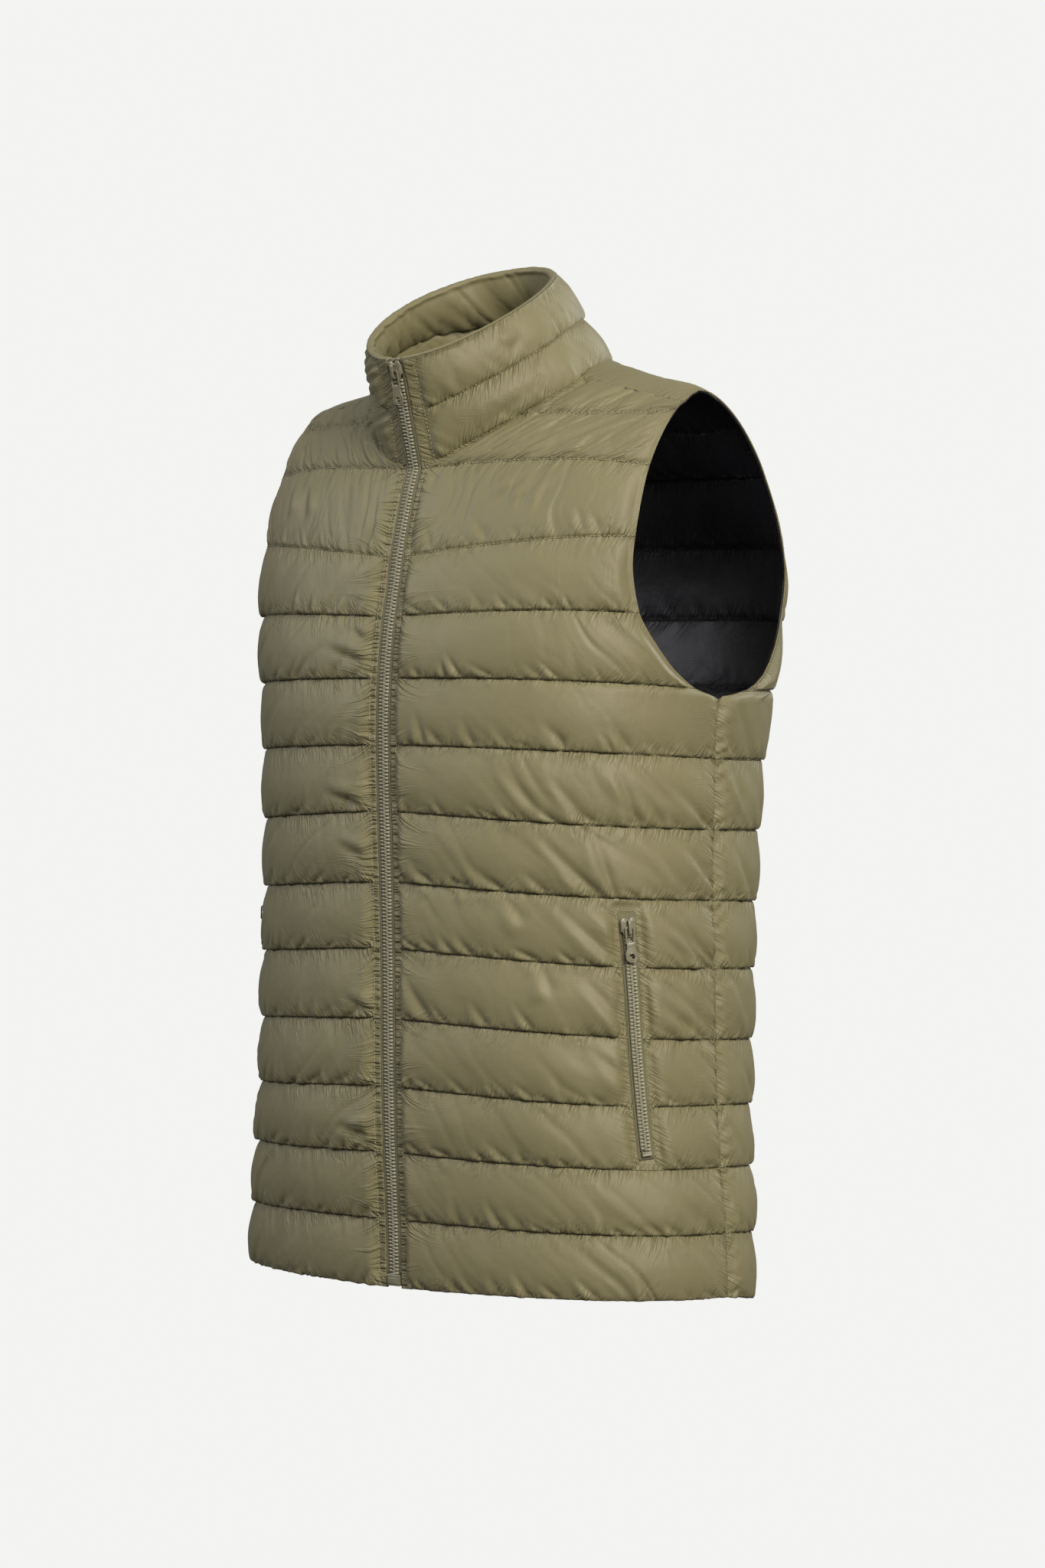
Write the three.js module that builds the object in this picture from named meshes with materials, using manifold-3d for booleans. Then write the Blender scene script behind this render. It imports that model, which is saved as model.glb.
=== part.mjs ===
// Padded vest (body warmer): quilted shell and lining, stand collar, front zip and two zipped hand pockets.
// Millimetres, +Z up, the front faces -Y and the wearer's left is +X. The origin lies between the two
// shoulder straps, at the height where they rest on the wearer.
import * as THREE from "three";
import { mergeVertices } from "three/addons/utils/BufferGeometryUtils.js";
import Module from "manifold-3d";

const wasm = await Module();
wasm.setup();

// ---- Driving dimensions ----
const GAP = 0.3; // between pieces that are sewn or pressed together
const HEM_FRONT = -634; // height of the hem at the zip
const UNDERARM = -221; // height of the lowest point of each armhole
const COLLAR_SEAM_FRONT = -63; // height of the collar seam at the zip
const SHOULDER_SEAM_TURN = 70; // how far round the shoulder arch the seam lies, 90 being the ridge

const SHELL = 1.2; // outer cloth and wadding where stitching or an edge presses them flat
const SHELL_PUFF = 4.8; // how much more they rise in the middle of a channel
const LINING = 0.9;
const LINING_PUFF = 2.6;

const CHAIN_HALF = 4.3; // half the width of the closed teeth
const TAPE_OUTER = 6.4; // half the width over both front tapes
const FRONT_EDGE = TAPE_OUTER + GAP; // where each front begins, beside its tape
const TAPE = { inner: 0.1, outer: 0.9 }; // offsets of the tape's two faces from the sewing surface
const CHAIN = { inner: -1.0, outer: 1.5 };

const SQUARENESS = 2.5; // exponent of the level sections: 2 is an ellipse, more is squarer
const ARCH_START = -137; // height above which front and back lean in towards the shoulders
const ARCH_POWER = 1.7; // exponent of the arch over the shoulder

// The shoulder ridge: its tip at the armhole, its rise towards the neck, and how far it lies behind the
// middle of the garment at the centre and comes forward towards the tip.
const RIDGE = { tip: 173, tipHeight: -8, slope: 0.15, bend: 0.00107, centreDepth: 13, swing: 0.13 };

// Level sections of the sewing surface, between shell and lining, from below the hem to the shoulders.
const SECTIONS = [
  { z: -660, halfWidth: 200, front: 118, back: 88 },
  { z: -590, halfWidth: 197, front: 121, back: 95 },
  { z: -530, halfWidth: 190, front: 126, back: 103 },
  { z: -470, halfWidth: 186, front: 129, back: 111 },
  { z: -410, halfWidth: 184, front: 131, back: 116 },
  { z: -350, halfWidth: 181, front: 134, back: 125 },
  { z: -290, halfWidth: 181, front: 138, back: 133 },
  { z: -230, halfWidth: 182, front: 140, back: 144 },
  { z: -180, halfWidth: 188, front: 137, back: 155 },
  { z: -137, halfWidth: 194, front: 130, back: 157 },
  { z: -100, halfWidth: 196, front: 128, back: 154 },
  { z: -60, halfWidth: 196, front: 130, back: 152 },
  { z: 80, halfWidth: 196, front: 130, back: 152 },
];

// The quilt lines, from the hem up: heights at the zip, at the side or armhole edge and at the centre of the
// back, and how far each front line bows up between its ends.
const QUILT_LINES = [
  { zip: HEM_FRONT, side: -633, back: -645, bow: 1 },
  { zip: -586, side: -589, back: -594, bow: 0 },
  { zip: -539, side: -544, back: -548, bow: -1 },
  { zip: -493, side: -501, back: -505, bow: -2 },
  { zip: -446, side: -456, back: -460, bow: -1 },
  { zip: -397, side: -407, back: -410, bow: -2 },
  { zip: -351, side: -360, back: -363, bow: -2 },
  { zip: -302, side: -311, back: -312, bow: -2 },
  { zip: -256, side: -262, back: -262, bow: 0 },
  { zip: -210, side: -214, back: -210, bow: 1 },
  { zip: -167, side: -164, back: -158, bow: 2 },
  { zip: -125, side: -112, back: -106, bow: 3 },
  { zip: COLLAR_SEAM_FRONT, side: -63, back: -57, bow: 4 },
];

// The armhole's two edges: height, and how far round each section the edge lies, 90 being the side.
const ARMHOLE = [
  { z: UNDERARM, front: 90, back: 90 },
  { z: -214, front: 83, back: 80 },
  { z: -205, front: 77, back: 72.5 },
  { z: -197, front: 73, back: 68.5 },
  { z: -179, front: 66, back: 62 },
  { z: -164, front: 61.5, back: 58.5 },
  { z: -138, front: 57.5, back: 56.5 },
  { z: -112, front: 56.5, back: 56.5 },
  { z: -64, front: 56.5, back: 57.5 },
  { z: -24, front: 57.5, back: 58.5 },
  { z: -8, front: 58.5, back: 58.8 },
];

// The front rows above the collar seam: their neck end, their height at the armhole and their bow.
const NECK_ROWS = [
  { x: 27, neck: -52, side: -50, bow: 3, puff: 0.8 },
  { x: 48, neck: -38, side: -37, bow: 0, puff: 0.8 },
  { x: 67, neck: -24, side: -24, bow: -2, puff: 0 },
  { x: 79, neck: -11, side: -22, bow: 0, puff: 0.6 },
  { x: 85.5, neck: -2, side: -19.6, bow: 0, puff: 0.4 },
];
const UNDERARM_PUFF = 0.3; // how puffed the row through the underarm point is
const SEAM_NECK_END = 84; // distance of the shoulder seam's neck end from the centre

// The back neckline in plan, from the shoulder seam to the centre of the back.
const BACK_NECK = [
  { x: 79, y: -1 },
  { x: 62, y: 26 },
  { x: 33, y: 49 },
  { x: 0, y: 56 },
];

// The back rows above its last level quilt line: how far round the arch they lie at the armhole and at the
// centre, from the back, and how puffed they are.
const YOKE_ROWS = [
  { side: 45, centre: 36, puff: 1 },
  { side: 60, centre: 45, puff: 0 },
  { side: 76, centre: 53, puff: 1 },
  { side: 93, centre: 60, puff: 0.9 },
];

// Where the columns of vertices lie, as a share of the way across a piece.
const FRONT_COLUMNS = [0, 0.03, 0.3, 0.55, 0.8, 0.97, 1];
const SHOULDER_COLUMNS = FRONT_COLUMNS.length - 1;
const BACK_HALF_COLUMNS = [1, 0.975, 0.86, 0.74, 0.62, 0.51, 0.42, 0.32, 0.21, 0.11, 0];

const COLLAR = { frontTop: 12, backTop: 88, sideRise: 4, halfWidth: 60, halfDepth: 70, centreY: -64 };
const COLLAR_ROWS = [
  { up: 0, puff: 0 },
  { up: 0.25, puff: 0.9 },
  { up: 0.5, puff: 0 },
  { up: 0.75, puff: 1 },
  { up: 1, puff: 0.15 },
];

// The front zip: its slider's distance below the top of the collar, its retainer box by heights above the
// hem, its top stops by heights above the slider's middle.
const SLIDER_DROP = 7.8;
const ZIP_BOX = { bottom: 1, top: 9, halfWidth: 5.8, inner: -1.4, outer: 2.2 };
const TOP_STOP = { nearEdge: 0.6, bottom: 7, top: 8.6 };
const ZIP_FACET = 24; // length of each flat facet of the front zip

// The pocket zips: ends of each as height and turn round the front's sections.
const POCKET = { top: -370, topTurn: 61.3, bottom: -537, bottomTurn: 65.1, steps: 8 };
const POCKET_SLOT = { halfWidth: 5.9, inner: -3, outer: 14, overrun: 0.02 }; // cut through the front's shell
const POCKET_TAPE = { halfWidth: 5.5, inner: 0.1, outer: 1.0 };
const POCKET_CHAIN = { halfWidth: 3.6, inner: 1.3, outer: 3.1, topMargin: 12, bottomMargin: 6 };
const POCKET_STOP = { inner: 1.3, outer: 3.6, bottomMargin: 2.5 };

// Sliders, in their own frame: `neck` is how far below the middle the core reaches, where the teeth begin.
const SLIDER = { halfWidth: 5.5, length: 13.4, plate: 1.2, corner: 2.4, core: 6.4, neck: 3, backInset: 0.5 };
const BRIDGE = { reach: 5.2, foot: 1, width: 2.2, rise: 3.6, opening: 2.6 }; // the loop that holds the pull
const PULL = { halfWidth: 4.4, length: 24, thickness: 1.3, corner: 1.5 };
const PULL_EYE = { halfWidth: 2.3, near: 0.7, far: 10, corner: 0.5 };
const PULL_HOLE = { radius: 2.1, fromEnd: 4.1 };
const WELD = 0.2; // how far the parts of one solid run into each other
const CURVE_STEPS = 3; // straight pieces in each rounded corner

// ---- Colours and finishes ----
const finish = (color, roughness, metalness = 0) => ({ color, roughness, metalness });
const SHELL_FINISH = finish(0x837b58, 0.55);
const LINING_FINISH = finish(0x17161a, 0.5);
const TAPE_FINISH = finish(0x6f6c55, 0.85);
const TEETH_FINISH = finish(0x77745f, 0.5);
const METAL_FINISH = finish(0x65624f, 0.4, 0.3);

// ---- Small helpers ----
const radians = THREE.MathUtils.degToRad;
const lerp = THREE.MathUtils.lerp;

/** A smooth value of one column of a table whose rows rise in column `by`, level past both ends. */
function along(table, by, column, at) {
  const last = table.length - 1;
  if (at <= table[0][by]) return table[0][column];
  if (at >= table[last][by]) return table[last][column];
  const i = table.findIndex((row) => row[by] > at) - 1;
  const slope = (k) => {
    if (k <= 0 || k >= last) return 0;
    return (table[k + 1][column] - table[k - 1][column]) / (table[k + 1][by] - table[k - 1][by]);
  };
  const span = table[i + 1][by] - table[i][by];
  const t = (at - table[i][by]) / span;
  const rise = table[i + 1][column] - table[i][column];
  const bend = t * (1 - t) * ((1 - t) * (slope(i) * span - rise) - t * (slope(i + 1) * span - rise));
  return lerp(table[i][column], table[i + 1][column], t) + bend;
}

// ---- The sewing surface ----
/** Height of the shoulder ridge at a distance x from the centre, steeper towards the neck. */
function ridgeHeight(x) {
  const inward = RIDGE.tip - Math.abs(x);
  return RIDGE.tipHeight + RIDGE.slope * inward + RIDGE.bend * inward * inward;
}

/** Distance forward or back of the ridge at a distance x from the centre. */
function ridgeDepth(x) {
  return RIDGE.centreDepth - RIDGE.swing * Math.abs(x);
}

/** How far out a section still is at x: 1 at the centre, 0 at the side. */
function fullness(x, halfWidth) {
  return Math.max(0, 1 - (Math.abs(x) / halfWidth) ** SQUARENESS) ** (1 / SQUARENESS);
}

/** Depth y of the front (side -1) or back (side 1) sheet at x and height z. */
function sheetDepth(x, z, side) {
  const depth = side * along(SECTIONS, "z", side < 0 ? "front" : "back", z);
  const climbed = Math.min(1, Math.max(0, (z - ARCH_START) / (ridgeHeight(x) - ARCH_START)));
  const lean = (1 - climbed ** ARCH_POWER) ** (1 / ARCH_POWER);
  return depth * fullness(x, along(SECTIONS, "z", "halfWidth", z)) * lean + ridgeDepth(x) * (1 - lean);
}

/** The point `turn` degrees over the shoulder arch at x: 0 is its foot, 90 the ridge, more the far side. */
function archPoint(x, turn, side) {
  const here = turn > 90 ? -side : side;
  const angle = radians(Math.min(turn, 180 - turn));
  const climbed = Math.sin(angle) ** (2 / ARCH_POWER);
  const lean = Math.cos(angle) ** (2 / ARCH_POWER);
  const z = ARCH_START + (ridgeHeight(x) - ARCH_START) * climbed;
  const depth = here * along(SECTIONS, "z", here < 0 ? "front" : "back", z);
  const y = depth * fullness(x, along(SECTIONS, "z", "halfWidth", z)) * lean + ridgeDepth(x) * (1 - lean);
  return new THREE.Vector3(x, y, z);
}

/** The arch point over a place in plan, found by halving the turn. */
function crownPoint(x, y, side) {
  const halvings = 40;
  let low = 0;
  let high = 180;
  for (let i = 0; i < halvings; i++) {
    const middle = (low + high) / 2;
    if ((archPoint(x, middle, side).y - y) * side > 0) low = middle;
    else high = middle;
  }
  return archPoint(x, low, side);
}

/** The distance x from the centre at a turn round the section at height z. */
function turnedX(turn, z) {
  return along(SECTIONS, "z", "halfWidth", z) * Math.sin(radians(turn)) ** (2 / SQUARENESS);
}

/** The turn round the section at height z of a point at distance x from the centre. */
function turnAt(x, z) {
  const share = Math.min(1, Math.abs(x) / along(SECTIONS, "z", "halfWidth", z));
  return THREE.MathUtils.radToDeg(Math.asin(share ** (SQUARENESS / 2)));
}

/** A value that is the same all over the surface and grows outwards, for its normals. */
function outside(x, y, z) {
  const middle = z > ARCH_START ? ridgeDepth(x) : 0;
  const depth = y < middle ? -along(SECTIONS, "z", "front", z) : along(SECTIONS, "z", "back", z);
  const halfWidth = along(SECTIONS, "z", "halfWidth", z);
  if (z <= ARCH_START) return (Math.abs(x) / halfWidth) ** SQUARENESS + (y / depth) ** SQUARENESS;
  const lean = Math.abs((y - middle) / (depth * fullness(x, halfWidth) - middle));
  const climbed = (z - ARCH_START) / (ridgeHeight(x) - ARCH_START);
  return lean ** ARCH_POWER + climbed ** ARCH_POWER;
}

/** The outward unit normal of the sewing surface at a point on it. */
function outward(p) {
  const step = 0.05;
  return new THREE.Vector3(
    outside(p.x + step, p.y, p.z) - outside(p.x - step, p.y, p.z),
    outside(p.x, p.y + step, p.z) - outside(p.x, p.y - step, p.z),
    outside(p.x, p.y, p.z + step) - outside(p.x, p.y, p.z - step),
  ).normalize();
}

// ---- Grids of sewing points, turned into closed walls ----
// A sewing point holds its place, its normal, the small step `seam` that clears the piece it is sewn to, and
// `mitre`, how far it moves for each millimetre of offset where two pieces meet at an angle.
function sewingPoint(place, puff, normal = outward(place)) {
  return { place, normal, puff, seam: new THREE.Vector3(), mitre: new THREE.Vector3() };
}

/** A sewing point's mirror image on the wearer's other side. */
function mirroredPoint(point) {
  const image = { ...point };
  for (const key of ["place", "normal", "seam", "mitre"]) {
    image[key] = point[key].clone().setX(-point[key].x);
  }
  return image;
}

/** A whole row from its half on the wearer's left, whose last point lies on the centre line. */
function wholeRow(half) {
  return [...half, ...half.slice(0, -1).reverse().map(mirroredPoint)];
}

/** A sewing point moved out (or in) by an offset. */
function lifted(point, offset) {
  const out = point.place.clone().addScaledVector(point.normal, offset);
  return out.addScaledVector(point.mitre, offset).add(point.seam);
}

/** A closed wall between two faces over a grid of points; each face is a function from point to offset. */
function wall(grid, outer, inner) {
  const rows = grid.length;
  const columns = grid[0].length;
  const positions = [];
  for (const face of [outer, inner]) {
    for (const point of grid.flat()) positions.push(...lifted(point, face(point)).toArray());
  }
  const at = (face, i, j) => face * rows * columns + i * columns + j;
  const index = [];
  const quad = (a, b, c, d) => index.push(a, b, c, a, c, d);
  for (let i = 0; i < rows - 1; i++) {
    for (let j = 0; j < columns - 1; j++) {
      quad(at(0, i, j), at(0, i, j + 1), at(0, i + 1, j + 1), at(0, i + 1, j));
      quad(at(1, i, j), at(1, i + 1, j), at(1, i + 1, j + 1), at(1, i, j + 1));
    }
  }
  const rim = [];
  for (let j = 0; j < columns; j++) rim.push([0, j]);
  for (let i = 1; i < rows; i++) rim.push([i, columns - 1]);
  for (let j = columns - 2; j >= 0; j--) rim.push([rows - 1, j]);
  for (let i = rows - 2; i > 0; i--) rim.push([i, 0]);
  rim.forEach((here, k) => {
    const next = rim[(k + 1) % rim.length];
    quad(at(0, ...here), at(1, ...here), at(1, ...next), at(0, ...next));
  });
  const geometry = new THREE.BufferGeometry();
  geometry.setAttribute("position", new THREE.Float32BufferAttribute(positions, 3));
  geometry.setIndex(index);
  return facingOut(geometry);
}

/** The same geometry with its triangles turned to face out. */
function facingOut(geometry) {
  const p = geometry.getAttribute("position");
  const index = geometry.getIndex().array;
  const corner = (k) => new THREE.Vector3().fromBufferAttribute(p, index[k]);
  let volume = 0;
  for (let k = 0; k < index.length; k += 3) volume += corner(k).dot(corner(k + 1).cross(corner(k + 2)));
  if (volume > 0) return geometry;
  for (let k = 0; k < index.length; k += 3) [index[k], index[k + 1]] = [index[k + 1], index[k]];
  return geometry;
}

/** The mirror image of a geometry on the wearer's other side. */
function mirrored(geometry) {
  const copy = geometry.clone();
  const p = copy.getAttribute("position");
  for (let k = 0; k < p.count; k++) p.setX(k, -p.getX(k));
  return facingOut(copy);
}

/** A geometry as a solid of the boolean library. */
function solid(geometry) {
  const bare = geometry.clone();
  bare.deleteAttribute("normal");
  bare.deleteAttribute("uv");
  const merged = mergeVertices(bare, 1e-4);
  const vertProperties = new Float32Array(merged.getAttribute("position").array);
  const triVerts = new Uint32Array(merged.getIndex().array);
  return new wasm.Manifold(new wasm.Mesh({ numProp: 3, vertProperties, triVerts }));
}

/** A solid of the boolean library as a geometry. */
function geometryOf(shape) {
  const mesh = shape.getMesh();
  const geometry = new THREE.BufferGeometry();
  geometry.setAttribute("position", new THREE.BufferAttribute(new Float32Array(mesh.vertProperties), 3));
  geometry.setIndex(new THREE.BufferAttribute(new Uint32Array(mesh.triVerts), 1));
  return geometry;
}

// ---- The neckline, shared by fronts, back and collar ----
/** Half the neckline on the wearer's left, from the zip round to the centre of the back. */
function halfNeckline() {
  const front = NECK_ROWS.map((row) => new THREE.Vector3(row.x, sheetDepth(row.x, row.neck, -1), row.neck));
  const corner = new THREE.Vector3(
    FRONT_EDGE, sheetDepth(FRONT_EDGE, COLLAR_SEAM_FRONT, -1), COLLAR_SEAM_FRONT,
  );
  const back = BACK_NECK.map(({ x, y }) => crownPoint(x, y, 1));
  return [corner, ...front, archPoint(SEAM_NECK_END, SHOULDER_SEAM_TURN, -1), ...back];
}

/** The collar's upper rim over each point of half the neckline. */
function halfRim(neckline) {
  const lengths = [0];
  for (let k = 1; k < neckline.length; k++) {
    lengths.push(lengths[k - 1] + neckline[k].distanceTo(neckline[k - 1]));
  }
  const total = lengths[lengths.length - 1];
  const start = Math.asin(FRONT_EDGE / COLLAR.halfWidth);
  return lengths.map((length) => {
    const angle = lerp(start, Math.PI, length / total);
    const back = (1 - Math.cos(angle)) / 2;
    return new THREE.Vector3(
      COLLAR.halfWidth * Math.sin(angle),
      COLLAR.centreY - COLLAR.halfDepth * Math.cos(angle),
      lerp(COLLAR.frontTop, COLLAR.backTop, back) + COLLAR.sideRise * Math.sin(angle) ** 2,
    );
  });
}

/** Directions and mitre at each point of half the neckline. */
function neckJoint(neckline, rim) {
  return neckline.map((place, k) => {
    const last = neckline.length - 1;
    const before = neckline[Math.max(0, k - 1)];
    const after = k < last ? neckline[k + 1] : neckline[k - 1].clone().multiply(new THREE.Vector3(-1, 1, 1));
    const tangent = after.clone().sub(before).normalize();
    if (k === 0) tangent.set(1, 0, 0);
    const normal = outward(place);
    const away = new THREE.Vector3().crossVectors(tangent, normal).normalize();
    const downAndOut = new THREE.Vector3(place.x, place.y, HEM_FRONT);
    if (away.dot(downAndOut) < 0) away.negate();
    const up = rim[k].clone().sub(place);
    up.addScaledVector(tangent, -up.dot(tangent)).normalize();
    const face = new THREE.Vector3().crossVectors(up, tangent).normalize();
    if (face.dot(new THREE.Vector3(place.x, place.y - COLLAR.centreY, 0)) < 0) face.negate();
    const half = Math.acos(THREE.MathUtils.clamp(-away.dot(up), -1, 1)) / 2;
    return { place, normal, away, up, face, half };
  });
}

const NECKLINE = halfNeckline();
const RIM = halfRim(NECKLINE);
const JOINT = neckJoint(NECKLINE, RIM);

/** A panel's point on the neckline, mitred against the collar. */
function neckPoint(k) {
  const { place, away, half } = JOINT[k];
  const point = sewingPoint(place.clone(), 0);
  point.seam.copy(away).multiplyScalar(GAP / 2 / Math.cos(half));
  point.mitre.copy(away).multiplyScalar(Math.tan(half));
  return point;
}

// ---- The fronts and the back ----
/** A row a share of the way from one row up to the next, puffed as said. */
function rowBetween(below, above, share, puff) {
  const row = { puff };
  for (const column of ["zip", "side", "back", "bow"]) {
    row[column] = lerp(below[column], above[column], share);
  }
  return row;
}

/** The rows between the hem and the collar seam: quilt lines, channel middles and the underarm. */
function levelRows() {
  const rows = [];
  QUILT_LINES.forEach((line, k) => {
    rows.push({ ...line, puff: 0 });
    const next = QUILT_LINES[k + 1];
    if (!next) return;
    const middle = rowBetween(line, next, 0.5, 1);
    rows.push(middle);
    if (middle.side < UNDERARM && next.side > UNDERARM) {
      const share = (UNDERARM - middle.side) / (next.side - middle.side);
      rows.push(rowBetween(middle, next, share, UNDERARM_PUFF));
    }
  });
  return rows;
}

/** The turn at which a sheet ends at a height: the side seam, or the armhole's edge above it. */
function edgeTurn(z, sheet) {
  return z <= UNDERARM ? 90 : along(ARMHOLE, "z", sheet, z);
}

/** One point of a level row: its turn and height give its place on the front or back sheet. */
function levelPoint(turn, z, side, puff) {
  const x = turnedX(Math.min(Math.abs(turn), 90), z);
  const y = Math.abs(turn) >= 90 ? 0 : sheetDepth(x, z, side);
  return sewingPoint(new THREE.Vector3(turn < 0 ? -x : x, y, z), puff);
}

/** The step that keeps a side seam open by half the gap. */
function openSideSeam(point, side) {
  point.seam.set(0, (side * GAP) / 2, 0);
  return point;
}

/** The shoulder seam's point a share of the way from neck to armhole, on the wearer's left. */
function shoulderPoint(share, side) {
  const x = lerp(SEAM_NECK_END, RIDGE.tip, share);
  const point = sewingPoint(archPoint(x, SHOULDER_SEAM_TURN, -1), 0);
  const ahead = archPoint(x, SHOULDER_SEAM_TURN - 1, -1).sub(point.place).normalize();
  point.seam.copy(ahead).multiplyScalar((-side * GAP) / 2);
  return point;
}

/** The grid of the wearer's left front, from hem to shoulder seam. */
function frontGrid() {
  const last = FRONT_COLUMNS.length - 1;
  const across = (row, startX, startZ) => {
    const from = turnAt(startX, startZ);
    const to = edgeTurn(row.side, "front");
    return FRONT_COLUMNS.map((share, j) => {
      const z = lerp(startZ, row.side, share) + 4 * row.bow * share * (1 - share);
      const point = levelPoint(lerp(from, to, share), z, -1, j % last ? row.puff : 0);
      return j === last && row.side <= UNDERARM ? openSideSeam(point, -1) : point;
    });
  };
  const grid = levelRows().map((row) => across(row, FRONT_EDGE, row.zip));
  grid[grid.length - 1][0] = neckPoint(0);
  NECK_ROWS.forEach((row, k) => {
    const points = across(row, row.x, row.neck);
    points[0] = neckPoint(k + 1);
    grid.push(points);
  });
  const top = FRONT_COLUMNS.map((share) => shoulderPoint(share, -1));
  const corner = neckPoint(NECK_ROWS.length + 1);
  corner.seam.add(top[0].seam);
  top[0] = corner;
  grid.push(top);
  return grid;
}

/** The grid of the back, from the wearer's left to the right and from hem to neck. */
function backGrid() {
  const grid = levelRows().map((row) => {
    const to = edgeTurn(row.side, "back");
    return wholeRow(BACK_HALF_COLUMNS.map((share, j) => {
      const z = lerp(row.back, row.side, share * share);
      const point = levelPoint(to * share, z, 1, j ? row.puff : 0);
      return j === 0 && row.side <= UNDERARM ? openSideSeam(point, 1) : point;
    }));
  });
  for (const row of YOKE_ROWS) {
    grid.push(wholeRow(BACK_HALF_COLUMNS.map((share, j) => {
      const turn = lerp(row.centre, row.side, share ** 1.5);
      return sewingPoint(archPoint(RIDGE.tip * share, turn, 1), j ? row.puff : 0);
    })));
  }
  const seam = FRONT_COLUMNS.map((share) => shoulderPoint(share, 1)).reverse();
  const corner = neckPoint(NECK_ROWS.length + 1);
  corner.seam.add(seam[SHOULDER_COLUMNS].seam);
  seam[SHOULDER_COLUMNS] = corner;
  const neck = BACK_NECK.map((row, k) => neckPoint(NECK_ROWS.length + 2 + k));
  grid.push(wholeRow([...seam, ...neck]));
  return grid;
}

// ---- The collar ----
/** The grid of the collar, from the wearer's left front edge round the back to the right. */
function collarGrid() {
  return COLLAR_ROWS.map(({ up, puff }) => {
    const half = JOINT.map((joint, k) => {
      const point = sewingPoint(joint.place.clone().lerp(RIM[k], up), puff, joint.face.clone());
      if (up === 0) {
        point.seam.copy(joint.up).multiplyScalar(GAP / 2 / Math.cos(joint.half));
        point.mitre.copy(joint.up).multiplyScalar(Math.tan(joint.half));
      }
      if (k === 0) {
        point.place.setX(FRONT_EDGE);
        point.normal.setX(0).normalize();
        point.puff = 0;
      }
      return point;
    });
    return wholeRow(half);
  });
}

const shellFace = (point) => SHELL + SHELL_PUFF * point.puff;
const liningFace = (point) => -GAP - LINING - LINING_PUFF * point.puff;
const sewingFace = () => 0;
const clearedFace = () => -GAP;

// ---- The front zip ----
/** Depth of the sewing surface at the centre of the front, up the panels and then up the collar. */
function zipDepth(z) {
  if (z < COLLAR_SEAM_FRONT) return sheetDepth(0, z, -1);
  const share = (z - COLLAR_SEAM_FRONT) / (COLLAR.frontTop - COLLAR_SEAM_FRONT);
  return lerp(sheetDepth(0, COLLAR_SEAM_FRONT, -1), COLLAR.centreY - COLLAR.halfDepth, share);
}

/** A strip along the front zip between two distances from its middle, two heights and two offsets. */
function zipStrip(from, to, bottom, top, { inner, outer }) {
  const steps = Math.max(1, Math.round((top - bottom) / ZIP_FACET));
  const grid = [];
  for (let i = 0; i <= steps; i++) {
    const z = lerp(bottom, top, i / steps);
    const slope = (zipDepth(z + 1) - zipDepth(z - 1)) / 2;
    const normal = new THREE.Vector3(0, -1, slope).normalize();
    grid.push([from, to].map((x) => sewingPoint(new THREE.Vector3(x, zipDepth(z), z), 0, normal)));
  }
  return wall(grid, () => outer, () => inner);
}

/** A flat plate with rounded corners and holes, its face up -Y, from z = low to z = high. */
function plate(halfWidth, low, high, radius, thickness, holes = []) {
  const shape = roundedOutline(new THREE.Shape(), -halfWidth, halfWidth, low, high, radius);
  shape.holes.push(...holes);
  const options = { depth: thickness, bevelEnabled: false, curveSegments: CURVE_STEPS };
  return new THREE.ExtrudeGeometry(shape, options).rotateX(Math.PI / 2);
}

/** A rounded rectangle drawn into a shape or path. */
function roundedOutline(path, left, right, low, high, radius) {
  path.absarc(right - radius, low + radius, radius, -Math.PI / 2, 0);
  path.absarc(right - radius, high - radius, radius, 0, Math.PI / 2);
  path.absarc(left + radius, high - radius, radius, Math.PI / 2, Math.PI);
  path.absarc(left + radius, low + radius, radius, Math.PI, Math.PI * 1.5);
  path.closePath();
  return path;
}

/** A box between two corners. */
function block(x0, x1, y0, y1, z0, z1) {
  const geometry = new THREE.BoxGeometry(x1 - x0, y1 - y0, z1 - z0);
  return geometry.translate((x0 + x1) / 2, (y0 + y1) / 2, (z0 + z1) / 2);
}

/** The loop over a slider's front plate that holds the pull, standing on y = 0. */
function bridgeGeometry() {
  const { reach, foot, width, rise, opening } = BRIDGE;
  const arch = new THREE.Shape();
  arch.moveTo(-reach, -WELD);
  arch.absarc(foot - reach, rise - foot, foot, Math.PI, Math.PI / 2, true);
  arch.absarc(reach - foot, rise - foot, foot, Math.PI / 2, 0, true);
  arch.lineTo(reach, -WELD);
  arch.lineTo(reach - foot, -WELD);
  arch.lineTo(reach - foot, opening);
  arch.lineTo(foot - reach, opening);
  arch.lineTo(foot - reach, -WELD);
  arch.closePath();
  const options = { depth: width, bevelEnabled: false, curveSegments: CURVE_STEPS };
  const strap = new THREE.ExtrudeGeometry(arch, options);
  const [alongZip, out, across] = [[0, 0, 1], [0, -1, 0], [1, 0, 0]].map((v) => new THREE.Vector3(...v));
  strap.applyMatrix4(new THREE.Matrix4().makeBasis(alongZip, out, across));
  return strap.translate(-width / 2, 0, 0);
}

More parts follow.
